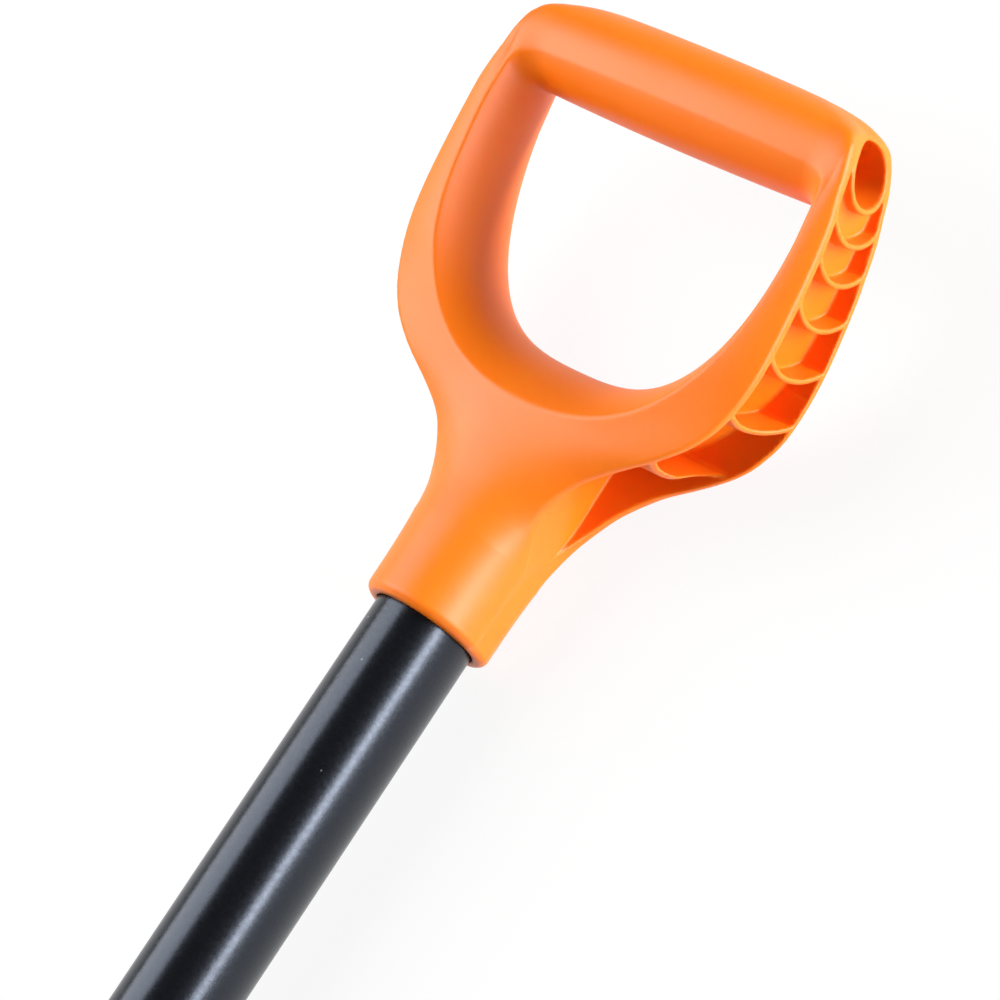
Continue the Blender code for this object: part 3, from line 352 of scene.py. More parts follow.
def opening_tables():
    """Distance to the hand opening's crease line, and the swell and crease depth there, on a grid."""
    power_x, power_s = OPENING_FULLNESS
    turn = np.linspace(0, math.pi / 2, 6000)
    x = OPENING_HALF_WIDTH * np.sin(turn) ** (2 / power_x)
    s = OPENING_BOTTOM + OPENING_ARC_HEIGHT * (1 - np.cos(turn) ** (2 / power_s))
    x = np.append(x, np.full(400, OPENING_HALF_WIDTH))
    s = np.append(s, np.linspace(s[-1], 0.160, 401)[1:])
    run = np.concatenate([[0], np.cumsum(np.hypot(np.diff(x), np.diff(s)))])
    even = np.linspace(0, run[-1], 1100)
    x, s = np.interp(even, run, x), np.interp(even, run, s)
    below_top = np.clip(OPENING_BOTTOM + OPENING_ARC_HEIGHT - s, 0, None) / OPENING_ARC_HEIGHT
    normal_x = -power_x / OPENING_HALF_WIDTH * (x / OPENING_HALF_WIDTH) ** (power_x - 1)
    normal_s = power_s / OPENING_ARC_HEIGHT * below_top ** (power_s - 1)
    size = np.hypot(normal_x, normal_s)
    normal_x, normal_s = normal_x / size, normal_s / size
    share = np.clip((s - OPENING_BOTTOM) / OPENING_ARC_HEIGHT, 0, 1)
    swell = BULGE_ARM + (BULGE_BOTTOM - BULGE_ARM) * (1 - share) ** BULGE_FADE
    crease = OPENING_CREASE - OPENING_CREASE_TAPER * share ** 2
    cell = 0.0004
    across = np.arange(0, 0.0761, cell)
    along = np.arange(-0.030, 0.1521, cell)
    out = np.empty((len(across), len(along), 3))
    for n, column in enumerate(across):
        near = np.argmin((column - x[None, :]) ** 2 + (along[:, None] - s[None, :]) ** 2, axis=1)
        out[n, :, 0] = (column - x[near]) * normal_x[near] + (along - s[near]) * normal_s[near]
        out[n, :, 1] = swell[near]
        out[n, :, 2] = crease[near]
    return across, along, out


def look_up(tables, x, s):
    """Values between the grid's points."""
    across, along, grid = tables
    u = np.clip((x - across[0]) / (across[1] - across[0]), 0, len(across) - 1.001)
    v = np.clip((s - along[0]) / (along[1] - along[0]), 0, len(along) - 1.001)
    i, j = u.astype(int), v.astype(int)
    u, v = (u - i)[:, None], (v - j)[:, None]
    return ((1 - u) * (1 - v) * grid[i, j] + u * (1 - v) * grid[i + 1, j]
            + (1 - u) * v * grid[i, j + 1] + u * v * grid[i + 1, j + 1]).T


def round_max(a, b, r):
    """What two solids share, its edge rounded to radius r (distances are negative inside)."""
    return np.minimum(-r, np.maximum(a, b)) + np.hypot(np.maximum(a + r, 0), np.maximum(b + r, 0))


def round_min(a, b, r):
    """Two solids joined with a fillet of radius r."""
    return np.maximum(r, np.minimum(a, b)) - np.hypot(np.maximum(r - a, 0), np.maximum(r - b, 0))


def smooth_step(x, low, high):
    t = np.clip((x - low) / (high - low), 0, 1)
    return t * t * (3 - 2 * t)


def change(x, low, high, first, last):
    """From the first value to the last as x goes from low to high."""
    return first + (last - first) * smooth_step(x, low, high)


def oval_field(x, y, half_x, half_y):
    """Distance to an oval, close to true near its edge."""
    k = np.hypot(x / half_x, y / half_y) + 1e-6
    return (k - 1) * k / (np.hypot(x / half_x ** 2, y / half_y ** 2) + 1e-6)


def shaft_bore(x, y):
    """Distance to the bore that takes the shaft."""
    return oval_field(x, y, SHAFT_HALF_WIDTH + SOCKET_FIT, SHAFT_HALF_DEPTH + SOCKET_FIT)


spine_table = grip_tables()
opening_table = opening_tables()
ring_y, ring_z = spine_to_ring()


def grip_field(points):
    """Distance to the grip's skin in its own frame: x across, y to the back, z along the shaft. In the
    ring's frame s runs along it and d to its back; t and depth do the same along the bent spine."""
    x, y, z = np.abs(points[:, 0]), points[:, 1], points[:, 2]
    cos, sin = math.cos(RING_CANT), math.sin(RING_CANT)
    s = (z - ring_z) * cos - (y - ring_y) * sin
    d = (y - ring_y) * cos + (z - ring_z) * sin
    turn = np.arctan2(z - SPINE_STRAIGHT, y + SPINE_RADIUS)
    straight, bent = z < SPINE_STRAIGHT, turn < RING_CANT
    t = np.where(straight, z, np.where(bent, SPINE_STRAIGHT + SPINE_RADIUS * turn, RING_DATUM + s))
    depth = np.where(straight, y, np.where(
        bent, np.hypot(y + SPINE_RADIUS, z - SPINE_STRAIGHT) - SPINE_RADIUS, d))
    away = np.abs(depth)

    # Outer form: crowned faces and the outline seen from the front. Names in _t are slopes along t.
    at, table, slope = spine_table
    wide, edge, mid, spread = (np.interp(t, at, table[:, c]) for c in range(4))
    wide_t, edge_t, mid_t, spread_t = (np.interp(t, at, slope[:, c]) for c in range(4))
    power = 1 / (0.5 + 0.5 * np.clip((t - GRIP_STATIONS[0][0]) / CROWN_CHANGE, 0, 1))
    rise = np.maximum(mid - edge, CROWN_LEAST)
    back = smooth_step(depth, BACK_START, edge)
    sides = (x - wide - spread * back) / np.sqrt(1 + (wide_t + spread_t * back) ** 2)
    off, swell, crease = look_up(opening_table, x, s)
    across = np.maximum(-off, 0) + np.maximum(-sides, 0) + 1e-6
    share = np.maximum(-off, 0) / across
    crown = 4 * share * (1 - share) * change(across, *ARM_CROWN)
    q = (away - crown - edge) / rise
    level = np.sign(q) * np.abs(q) ** power + (x / wide) ** 2 - 1
    steep = power * np.abs(q) ** (power - 1)
    along = steep * (edge_t * rise + (away - edge) * (mid_t - edge_t)) / rise ** 2
    along += 2 * x * x * wide_t / wide ** 3
    faces = level / np.sqrt((steep / rise) ** 2 + (2 * x / wide ** 2) ** 2 + along ** 2 + 1e-6)
    faces = np.maximum(faces, -0.03)        # further in, the estimate fails
    corner = change(t, *COLLAR_EDGES)
    body = round_max(faces, sides, corner)
    body = round_max(body, t - GRIP_TOP, EDGE_ROUNDING)

    # Ring wall swelling into the hand opening, and the cross bar with its fillets
    wall = (off - swell * (1 - (d / crease) ** 2)) / np.sqrt(1 + (2 * swell * d / crease ** 2) ** 2)
    from_bar = np.hypot(d, s - BAR_HEIGHT)
    thinner = BAR_RADIUS - change(d, *BAR_END_RADIUS)
    bar = from_bar - BAR_RADIUS + thinner * np.minimum(x / BAR_END, 1) ** 2
    ring = round_min(wall, bar, change(d, *BAR_FILLET))
    body = round_max(body, ring, change(s, *CREASE_ROUNDING))
    body = round_min(body, round_max(bar, sides, BAR_END_ROUNDING), BAR_BLEND)
    body = round_max(body, sides, corner)

    # Side channels: what stays in them is the ring's wall, flanges, socket cheeks, tube and ribs
    keep = np.minimum(edge - FLANGE - away, t - CHANNEL_START)
    keep = np.minimum(keep, RING_DATUM + BAR_HEIGHT + RIB_THICKNESS - t)
    floor = CHANNEL_FLOOR[0] - CHANNEL_FLOOR[1] * np.maximum(1 - (d / edge) ** 2, 0)
    floor += change(s, *CHANNEL_FLOOR_LOW)
    keep = round_min(keep, -floor - off, ROOT_FILLET)
    cheek = x - change(d, *CHEEK_HALF_WIDTH) - change(t, *CHEEK_FOOT)
    cheek = np.maximum(cheek, t - RING_DATUM - OPENING_BOTTOM - BULGE_BOTTOM)
    keep = round_min(keep, cheek, ROOT_FILLET)
    from_tube = np.hypot(d - BAR_TUBE_OFFSET[0], s - BAR_HEIGHT - BAR_TUBE_OFFSET[1])
    keep = round_min(keep, from_tube - BAR_TUBE_RADIUS, ROOT_FILLET)
    set_back = change(t, *RIB_SET_BACK) * change(d, *RIB_BACK_END)
    for low, radius, shift in zip(RIB_LOWS, RIB_RADII, RIB_SHIFTS):
        rib = np.abs(np.hypot(d - shift, s - low - radius) - radius + RIB_THICKNESS / 2) - RIB_THICKNESS / 2
        rib = round_max(rib, sides + set_back, LIP_ROUNDING * smooth_step(set_back, 0, LIP_ROUNDING))
        keep = round_min(keep, np.maximum(rib, s - low - radius), RIB_FILLET)
    body = round_max(body, keep, LIP_ROUNDING)

    # Bores of the bar, the shaft's socket, the collar's rounded mouth and the screw's recess
    bore = from_tube - BAR_BORE_RADIUS + BAR_BORE_DRAFT * (1 - np.minimum(x / BAR_END, 1))
    body = round_max(body, -np.maximum(bore, BAR_WEB - x), LIP_ROUNDING)
    body = round_max(body, -z, COLLAR_ROUNDING)
    body = round_max(body, -np.maximum(shaft_bore(x, y), z - SOCKET_DEPTH), SOCKET_ROUNDING)
    from_screw = np.hypot(x, z - SCREW_FROM_MOUTH)
    recess = np.maximum(from_screw - SCREW_RECESS_RADIUS, SCREW_SEAT - y)
    body = round_max(body, -recess, RECESS_ROUNDING)
    return np.maximum(body, -np.maximum(from_screw - SCREW_HOLE_RADIUS, -y))


def field_slope(field, points, reach):
    """Gradient of a distance field from four samples round each point."""
    total = np.zeros_like(points)
    for corner in ((1, -1, -1), (-1, -1, 1), (-1, 1, -1), (1, 1, 1)):
        step = np.array(corner, float)
        total += field(points + reach * step)[:, None] * step
    return total / (4 * reach)


def unit_slope(field, points, reach):
    slope = field_slope(field, points, reach)
    return slope / (np.linalg.norm(slope, axis=1)[:, None] + 1e-12)


def drawn_to_zero(field, points, reach, limit):
    """Points moved along the field's slope to its zero, none of them further than the limit."""
    slope = field_slope(field, points, reach)
    off = field(points)[:, None] * slope / (np.sum(slope * slope, axis=1)[:, None] + 1e-9)
    return points - off * np.minimum(1, limit / (np.linalg.norm(off, axis=1)[:, None] + 1e-12))


SKIN_HOLD = 0.08                # how firmly a cell's point is held near the middle of its crossings


def skin_field(field, low, high, pitch):
    """Quads over the zero of a field that is the same on both sides of x = 0, with one point in each
    cell where the faces through that cell meet. Returns points, unit normals and quads."""
    n = 2 * int(math.ceil(high[0] / pitch))
    axes = [pitch * (np.arange(n) - (n - 1) / 2)]
    axes += [np.arange(low[c], high[c] + pitch, pitch) for c in (1, 2)]
    shape = tuple(len(a) for a in axes)
    right = np.stack(np.meshgrid(axes[0][n // 2:], axes[1], axes[2], indexing="ij"), -1)
    value = field(right.reshape(-1, 3)).reshape(right.shape[:3])
    value = np.concatenate([value[::-1], value])
    cells = tuple(k - 1 for k in shape)
    spots, owners, rings = [], [], []
    # Where the grid's lines along each axis cross the zero, and the four cells round each of them
    for c in range(3):
        first = [slice(None)] * 3
        second = [slice(None)] * 3
        first[c], second[c] = slice(0, -1), slice(1, None)
        a, b = value[tuple(first)], value[tuple(second)]
        found = np.argwhere((a < 0) != (b < 0))
        found = found[np.all((np.delete(found, c, 1) > 0)
                             & (np.delete(found, c, 1) < np.delete(np.array(shape), c) - 1), axis=1)]
        at_near, at_far = a[tuple(found.T)], b[tuple(found.T)]
        outwards = at_near < 0
        base = np.stack([axes[k][found[:, k]] for k in range(3)], 1)
        near, far = np.zeros(len(found)), np.full(len(found), pitch)
        for _ in range(4):      # false position, kept off both ends
            share = near + (far - near) * np.clip(at_near / (at_near - at_far), 0.05, 0.95)
            spot = base.copy()
            spot[:, c] += share
            found_there = field(spot)
            same = (found_there < 0) == outwards
            near, at_near = np.where(same, share, near), np.where(same, found_there, at_near)
            far, at_far = np.where(same, far, share), np.where(same, at_far, found_there)
        spot = base.copy()
        spot[:, c] += near + (far - near) * at_near / (at_near - at_far)
        u, w = (c + 1) % 3, (c + 2) % 3
        ring = []
        for du, dw in ((1, 1), (0, 1), (0, 0), (1, 0)):
            cell = found.copy()
            cell[:, u] -= du
            cell[:, w] -= dw
            ring.append(np.ravel_multi_index(cell.T, cells))
        ring = np.stack(ring, 1)
        spots.append(spot)
        owners.append(ring)
        rings.append(np.where(outwards[:, None], ring, ring[:, ::-1]))
    spots = np.concatenate(spots)
    normals = unit_slope(field, spots, 0.12 * pitch)
    # One point in each cell that is crossed: least squares to the planes, held near their middle
    used, owner = np.unique(np.concatenate(owners).ravel(), return_inverse=True)
    spot4, normal4 = np.repeat(spots, 4, 0), np.repeat(normals, 4, 0)
    total = len(used)
    count = np.bincount(owner, minlength=total)
    middle = np.stack([np.bincount(owner, spot4[:, k], total) for k in range(3)], 1) / count[:, None]
    matrix = np.empty((total, 3, 3))
    for j in range(3):
        for k in range(3):
            matrix[:, j, k] = np.bincount(owner, normal4[:, j] * normal4[:, k], total)
    reach = np.einsum("ij,ij->i", normal4, spot4 - middle[owner])
    pull = np.stack([np.bincount(owner, normal4[:, k] * reach, total) for k in range(3)], 1)
    matrix += SKIN_HOLD * np.eye(3)
    move = np.linalg.solve(matrix, pull[:, :, None])[:, :, 0]
    size = np.linalg.norm(move, axis=1)[:, None] + 1e-12
    points = middle + move * np.minimum(1, 0.8 * pitch / size)
    for _ in range(3):
        points = drawn_to_zero(field, points, 0.1 * pitch, 0.4 * pitch)
    quads = np.searchsorted(used, np.concatenate(rings))
    return points, unit_slope(field, points, 0.25 * pitch), quads


def in_tool(vectors, origin=(0.0, 0.0, 0.0)):
    """From the grip's frame to the tool's, the grip's back facing the ground."""
    return np.stack([vectors[:, 0], vectors[:, 2], -vectors[:, 1]], 1) + origin


def skin_mesh(name, points, quads, normals=None):
    mesh = bpy.data.meshes.new(name)
    mesh.from_pydata(points.tolist(), [], quads.tolist())
    mesh.validate()
    mesh.shade_smooth()
    if normals is not None:
        mesh.normals_split_custom_set_from_vertices(normals.tolist())
    return mesh


def mesh_points(mesh):
    spots = np.empty(3 * len(mesh.vertices))
    mesh.vertices.foreach_get("co", spots)
    return spots.reshape(-1, 3)


def thinned_mesh(name, field, points, quads, ratio):
    """The skin with fewer triangles where it is flat, its points drawn back onto the field's zero."""
    item = add_object(f"{name}_form", skin_mesh(name, points, quads))
    item.modifiers.new("thin", "DECIMATE").ratio = ratio
    mesh = finished_mesh(item, name)
    spots = drawn_to_zero(field, mesh_points(mesh), THINNING_REACH, 2 * THINNING_REACH)
    mesh.vertices.foreach_set("co", spots.ravel())
    return mesh


def grained_polypropylene():
    """Orange polypropylene, moulded on a spark-eroded tool: saturated, satin, with a grain so fine
    that it only softens the shine."""
    material, tree, place = new_finish("grained_orange_polypropylene")
    # The real grain is about 0.1 mm; it is drawn at 0.35 mm so that it shows in the render
    grain = add_node(tree, "ShaderNodeTexNoise", {"Vector": place, "Scale": 2800.0, "Detail": 1.0})
    # Slow change of shade over some 40 mm, from the way that the melt filled the mould
    flow = add_node(tree, "ShaderNodeTexNoise", {"Vector": place, "Scale": 25.0, "Detail": 1.0})
    # Light soaks some millimetres into the pigmented plastic, the red furthest
    soak = {"Subsurface Weight": 0.25, "Subsurface Radius": (1.0, 0.30, 0.05), "Subsurface Scale": 0.003}
    set_surface(tree, flow, ("#F07401", "#F47B04"), (flow, 0.44, 0.50), (grain, 0.10, 0.0002),
                {"IOR": 1.49, **soak})
    return material


def build_grip():
    # The box that holds the grip, in the grip's own frame
    low, high = (0, -0.050, -0.003), (0.066, 0.026, 0.180)
    points, _, quads = skin_field(grip_field, low, high, GRIP_PITCH)
    mesh = thinned_mesh("moulded_d_grip", grip_field, points, quads, GRIP_THINNING)
    spots = mesh_points(mesh)
    slope = unit_slope(grip_field, spots, 2 * THINNING_REACH)
    mesh.vertices.foreach_set("co", in_tool(spots, GRIP_ORIGIN).ravel())
    mesh.update()
    mesh.shade_smooth()
    mesh.normals_split_custom_set_from_vertices(in_tool(slope).tolist())
    place_piece("moulded_d_grip", mesh, grained_polypropylene(), "grip", "d_grip")


build_grip()


# Grip screw
# Zinc-plated pan-head screw with a cross recess, driven from the grip's back through the collar
# into the shaft. Its head sits in a round recess.
SCREW_HEAD_RADIUS = 0.0040
SCREW_HEAD_HEIGHT = 0.0020
SCREW_SHANK_RADIUS = 0.0021
SCREW_LENGTH = 0.0085
SCREW_POINT = 0.0015
SCREW_HEAD_SEAT = SCREW_SEAT + 0.0003
SCREW_HEAD_ROUNDING = 0.0004
SCREW_SEAT_ROUNDING = 0.0002
SCREW_MARGIN = 0.0008           # free space round it in its grid
CROSS_HALF_WIDTH = 0.0005
CROSS_REACH = 0.0021
CROSS_DEPTH = 0.0012
CROSS_TAPER = 0.4               # share by which the cross narrows at its bottom
CROSS_ROUNDING = 0.00012
THREAD_RIDGE = 0.0003
TAPPING_PITCH = 0.0011
SCREW_PITCH = 0.00019           # cell size of its skin


def screw_field(points):
    """Distance to the screw in the grip's frame, from its head at the back to its point."""
    x, y, z = np.abs(points[:, 0]), points[:, 1], np.abs(points[:, 2] - SCREW_FROM_MOUTH)
    radius = np.hypot(x, z)
    ball = (SCREW_HEAD_RADIUS ** 2 + SCREW_HEAD_HEIGHT ** 2) / (2 * SCREW_HEAD_HEIGHT)
    top = SCREW_HEAD_SEAT + SCREW_HEAD_HEIGHT
    head = np.hypot(radius, y - top + ball) - ball
    head = round_max(head, radius - SCREW_HEAD_RADIUS + 0.0001, SCREW_HEAD_ROUNDING)
    head = round_max(head, SCREW_HEAD_SEAT - y, SCREW_SEAT_ROUNDING)
    taper = 1 - CROSS_TAPER * np.clip((top - y) / CROSS_DEPTH, 0, 1)
    slot_a = np.maximum(x - CROSS_HALF_WIDTH * taper, z - CROSS_REACH * taper)
    slot_b = np.maximum(z - CROSS_HALF_WIDTH * taper, x - CROSS_REACH * taper)
    cross = np.maximum(np.minimum(slot_a, slot_b), top - CROSS_DEPTH - y)
    head = round_max(head, -cross, CROSS_ROUNDING)
    tip = SCREW_HEAD_SEAT - SCREW_LENGTH
    reach = SCREW_SHANK_RADIUS - THREAD_RIDGE * np.abs(((y - tip) / TAPPING_PITCH) % 1.0 - 0.5)
    shank = radius - reach * np.clip((y - tip) / SCREW_POINT, 0, 1)
    shank = np.maximum(shank, y - SCREW_HEAD_SEAT - 0.0005)
    return np.minimum(head, np.maximum(shank, tip - y))


def zinc_plate():
    """Bright zinc plate with a clear passivation: a soft grey metal of slightly uneven shine."""
    material, tree, place = new_finish("bright_zinc_plate")
    # Crystals of the plating, about 0.3 mm across, show as a slight change of shine
    crystals = add_node(tree, "ShaderNodeTexNoise", {"Vector": place, "Scale": 3300.0, "Detail": 2.0})
    set_surface(tree, crystals, ("#B4B7BB", "#CDD0D2"), (crystals, 0.24, 0.36), None, {"Metallic": 1.0})
    return material


def build_grip_screw():
    side = SCREW_HEAD_RADIUS + SCREW_MARGIN
    low = (0, SCREW_HEAD_SEAT - SCREW_LENGTH - SCREW_MARGIN, SCREW_FROM_MOUTH - side)
    high = (side, SCREW_HEAD_SEAT + SCREW_HEAD_HEIGHT + SCREW_MARGIN, SCREW_FROM_MOUTH + side)
    points, normals, quads = skin_field(screw_field, low, high, SCREW_PITCH)
    mesh = skin_mesh("cross_head_screw", in_tool(points, GRIP_ORIGIN), quads, in_tool(normals))
    place_piece("cross_head_screw", mesh, bright_zinc, "zinc", "grip_screw")


bright_zinc = zinc_plate()
build_grip_screw()


# Shaft core
# Solid nylon plug inside the shaft's low end, so that the socket's bolts can't crush the tube.
# It is wholly inside the tube and keeps its CAD solid.
def core_nylon():
    """Natural cast nylon: off-white, waxy and slightly uneven in shade."""
    material, tree, place = new_finish("natural_cast_nylon")
    # Clouding of the casting, about 8 mm across
    cloud = add_node(tree, "ShaderNodeTexNoise", {"Vector": place, "Scale": 120.0, "Detail": 2.0})
    set_surface(tree, cloud, ("#D9D3C2", "#E6E1D3"), None, None, {"Roughness": 0.5, "IOR": 1.53})
    return material


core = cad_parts["shaft_core"]
core.data.materials.clear()
core.data.materials.append(core_nylon())


# Blade sheet and rim
# One wide black polypropylene moulding: a sheet 3.2 mm thick, flat behind its leading edge and then
# rolled to an even arc, with two round upper corners and a rolled stiffening rim along the top.
BLADE_LINE = SHAFT_LOW_END - 0.132      # the blade's lowest line, along the tool
BLADE_WIDTH = 0.530
BLADE_SHEET = 0.0032
BLADE_RADIUS = 0.220
BLADE_CENTRE_HEIGHT = 0.2282
BLADE_EDGE_SLOPE = math.radians(17.0)
BLADE_TOP_SLOPE = math.radians(58.0)
BLADE_FLAT = 0.050
BLADE_CORNER = 0.060
BLADE_ROWS = (4, 44, 20)        # on its flat, its arc and its corners
BLADE_COLUMNS = 56
BLADE_EDGE_ROUNDING = 0.0007
RIM_RADIUS = 0.0048
RIM_THIN = 0.0016               # its radius at the corners' low ends
RIM_INSET = 0.0018
BLADE_LENGTH = BLADE_FLAT + BLADE_RADIUS * (BLADE_EDGE_SLOPE + BLADE_TOP_SLOPE)


def on_blade(distance, depth=0.0):
    """Point (y, z) at a distance from the blade's edge, behind its front face, and the lean there."""
    lean = -BLADE_EDGE_SLOPE + max(distance - BLADE_FLAT, 0.0) / BLADE_RADIUS
    before = max(BLADE_FLAT - distance, 0.0)
    reach = BLADE_RADIUS + depth
    y = BLADE_LINE + reach * math.sin(lean) - before * math.cos(lean)
    z = BLADE_CENTRE_HEIGHT - reach * math.cos(lean) - before * math.sin(lean)
    return y, z, lean


def blade_half(distance):
    """Half width of the sheet, with the round upper corners."""
    past = max(distance - BLADE_LENGTH + BLADE_CORNER, 0.0)
    return BLADE_WIDTH / 2 - BLADE_CORNER + math.sqrt(max(BLADE_CORNER ** 2 - past ** 2, 0.0))


def blade_finish():
    """Black polypropylene copolymer, moulded: fine matt grain, and a drag sheen from snow and grit
    low on the sheet. It gives a dull dark grey with soft highlights."""
    material, tree, place = new_finish("grained_black_polypropylene")
    # The real grain is about 0.2 mm; drawn at 0.8 mm so that it shows on a blade half a metre wide
    grain = add_node(tree, "ShaderNodeTexNoise", {"Vector": place, "Scale": 1250.0, "Detail": 2.0})
    # Drag marks run along the tool, a few millimetres apart and up to 80 mm long
    stretch = add_node(tree, "ShaderNodeMapping", {"Vector": place, "Scale": (1.0, 0.04, 0.04)})
    drag = add_node(tree, "ShaderNodeTexNoise", {"Vector": stretch, "Scale": 420.0, "Detail": 3.0})
    marks = add_node(tree, "ShaderNodeMapRange", {"Value": drag, "From Min": 0.60, "From Max": 0.74})
    along = add_node(tree, "ShaderNodeSeparateXYZ", {"Vector": place}).outputs["Y"]
    low = add_node(tree, "ShaderNodeMapRange", {"Value": along, "From Min": -0.56, "From Max": -0.73})
    worn = add_node(tree, "ShaderNodeMath", {0: marks, 1: low}, operation="MULTIPLY")
    set_surface(tree, worn, ("#1B1C1E", "#34363A"), (worn, 0.50, 0.36), (grain, 0.25, 0.0003),
                {"IOR": 1.49}, span=(0.0, 1.0))
    return material


def soften(item, width, segments, angle):
    """Small roundings on the edges that are sharper than the angle."""
    edge = item.modifiers.new("edge", "BEVEL")
    edge.width = width
    edge.segments = segments
    edge.limit_method = "ANGLE"
    edge.angle_limit = math.radians(angle)


def build_blade_sheet():
    flat, arc, corner = BLADE_ROWS
    start = BLADE_LENGTH - BLADE_CORNER
    rows = [BLADE_FLAT * k / flat for k in range(flat)]
    rows += [BLADE_FLAT + (start - BLADE_FLAT) * k / arc for k in range(arc)]
    rows += [start + BLADE_CORNER * math.sin(math.pi / 2 * k / corner) for k in range(corner + 1)]
    shape = bmesh.new()
    grid = []
    for distance in rows:
        y, z, _ = on_blade(distance)
        half = blade_half(distance)
        grid.append([shape.verts.new((half * (2 * i / BLADE_COLUMNS - 1), y, z))
                     for i in range(BLADE_COLUMNS + 1)])
    add_quads(shape, grid, ring=False)
    sheet = add_object("blade_sheet_form", mesh_from(shape, "blade_sheet", closed=False))
    wall = sheet.modifiers.new("wall", "SOLIDIFY")
    wall.thickness = BLADE_SHEET
    wall.offset = -1
    wall.use_even_offset = True
    soften(sheet, BLADE_EDGE_ROUNDING, 3, 50)
    place_piece("blade_sheet", finished_mesh(sheet, "blade_sheet"), black_polypropylene, "blade", "blade")


def swept_mesh(name, path, radii, count=20):
    """Round bar along a path of points, closed at both ends."""
    points = np.array(path, float)
    ahead = np.gradient(points, axis=0)
    ahead /= np.linalg.norm(ahead, axis=1)[:, None]
    side = np.cross(ahead[0], (0, 0, 1.0))
    side /= np.linalg.norm(side)
    shape = bmesh.new()
    rows = []
    for point, forward, radius in zip(points, ahead, radii):
        side = side - forward * np.dot(side, forward)
        side /= np.linalg.norm(side)
        other = np.cross(forward, side)
        rows.append([shape.verts.new(point + radius * (math.cos(t) * side + math.sin(t) * other))
                     for t in full_turn(count)])
    add_quads(shape, rows, caps=True)
    return mesh_from(shape, name)


def build_blade_rim():
    """The rim runs along the top edge and thins out round both corners, just inside the edge."""
    steps, right = 26, []
    inset = BLADE_CORNER - RIM_INSET
    for k in range(steps + 1):
        turn = math.pi / 2 * (1 - k / steps)        # 0 at the corner's low end, a quarter turn at the top
        x = BLADE_WIDTH / 2 - BLADE_CORNER + inset * math.cos(turn)
        distance = BLADE_LENGTH - BLADE_CORNER + inset * math.sin(turn)
        right.append((x, distance, RIM_THIN + (RIM_RADIUS - RIM_THIN) * math.sin(turn) ** 1.5))
    tip_x, tip_distance, tip_radius = right[-1]
    dome = ((0.0010, 0.8), (0.0016, 0.45), (0.0019, 0.1))       # past the tip, share of its radius
    right += [(tip_x, tip_distance - past, tip_radius * share) for past, share in dome]
    left = [(-x, distance, radius) for x, distance, radius in right[::-1]]
    span = 2 * (BLADE_WIDTH / 2 - BLADE_CORNER)
    middle = [(-span / 2 + span * k / 30, right[0][1], RIM_RADIUS) for k in range(1, 30)]
    path, radii = [], []
    for x, distance, radius in left + middle + right:
        y, z, _ = on_blade(distance, BLADE_SHEET / 2)
        path.append((x, y, z))
        radii.append(radius)
    mesh = swept_mesh("blade_rim", path, radii)
    mesh.shade_smooth()
    place_piece("blade_rim", mesh, black_polypropylene, "blade")


black_polypropylene = blade_finish()
build_blade_sheet()
build_blade_rim()


# Back ribs and heel pads
# Six low stiffening ribs run up the back of the sheet, moulded with it, and two square heel pads
# carry the tool when it lies on its back.
RIB_WIDTH = 0.0040
RIB_HEIGHT = 0.0050
RIB_FIRST = 0.075
RIB_PITCH = 0.045
RIB_LAST = 0.220
RIB_FROM_FLAT = 0.018
RIB_FROM_TOP = 0.032
RIB_RUN_OUT = 0.014             # length over which a rib's end slopes down to the sheet
RIB_SINK = 0.0010               # how far a rib is sunk into the sheet
RIB_STEPS = 64
PAD_WIDTH = 0.050
PAD_LENGTH = 0.034
PAD_FROM_SIDE = 0.095
PAD_INTO_SHEET = 0.0022
PAD_DRAFT = 0.0008
PAD_CORNER = 0.005
PAD_SOLE_ROUNDING = 0.0009


def repeat_tree(name, material, lines):
    """Geometry Nodes that copy the piece's own mesh onto lines of points, some of them mirrored.
    Each line is (name, count, start, step, mirrored) and its values are named inputs."""
    tree = bpy.data.node_groups.new(name, "GeometryNodeTree")
    tree.interface.new_socket("Piece", in_out="INPUT", socket_type="NodeSocketGeometry")
    tree.interface.new_socket("Geometry", in_out="OUTPUT", socket_type="NodeSocketGeometry")
    values = {}
    for label, count, start, step, _ in lines:
        for word, kind, value in (("count", "NodeSocketInt", count), ("start", "NodeSocketVector", start),
                                  ("step", "NodeSocketVector", step)):
            socket = tree.interface.new_socket(f"{label} {word}", in_out="INPUT", socket_type=kind)
            values[socket.identifier] = value
    entry = add_node(tree, "NodeGroupInput")
    rows = []
    for label, _, _, _, mirrored in lines:
        count, start, step = (entry.outputs[f"{label} {word}"] for word in ("count", "start", "step"))
        rows.append(add_node(tree, "GeometryNodeMeshLine",
                             {"Count": count, "Start Location": start, "Offset": step}, mode="OFFSET"))
        if mirrored:
            rows.append(add_node(tree, "GeometryNodeTransform",
                                 {"Geometry": rows[-1], "Scale": (-1.0, 1.0, 1.0)}))
    joined = add_node(tree, "GeometryNodeJoinGeometry")
    for row in rows:
        set_inputs(joined, {"Geometry": row})
    copies = add_node(tree, "GeometryNodeInstanceOnPoints",
                      {"Points": joined, "Instance": entry.outputs["Piece"]})
    real = add_node(tree, "GeometryNodeRealizeInstances", {"Geometry": copies})
    skin = add_node(tree, "GeometryNodeSetMaterial", {"Geometry": real, "Material": material})
    add_node(tree, "NodeGroupOutput", {"Geometry": skin})
    return tree, values


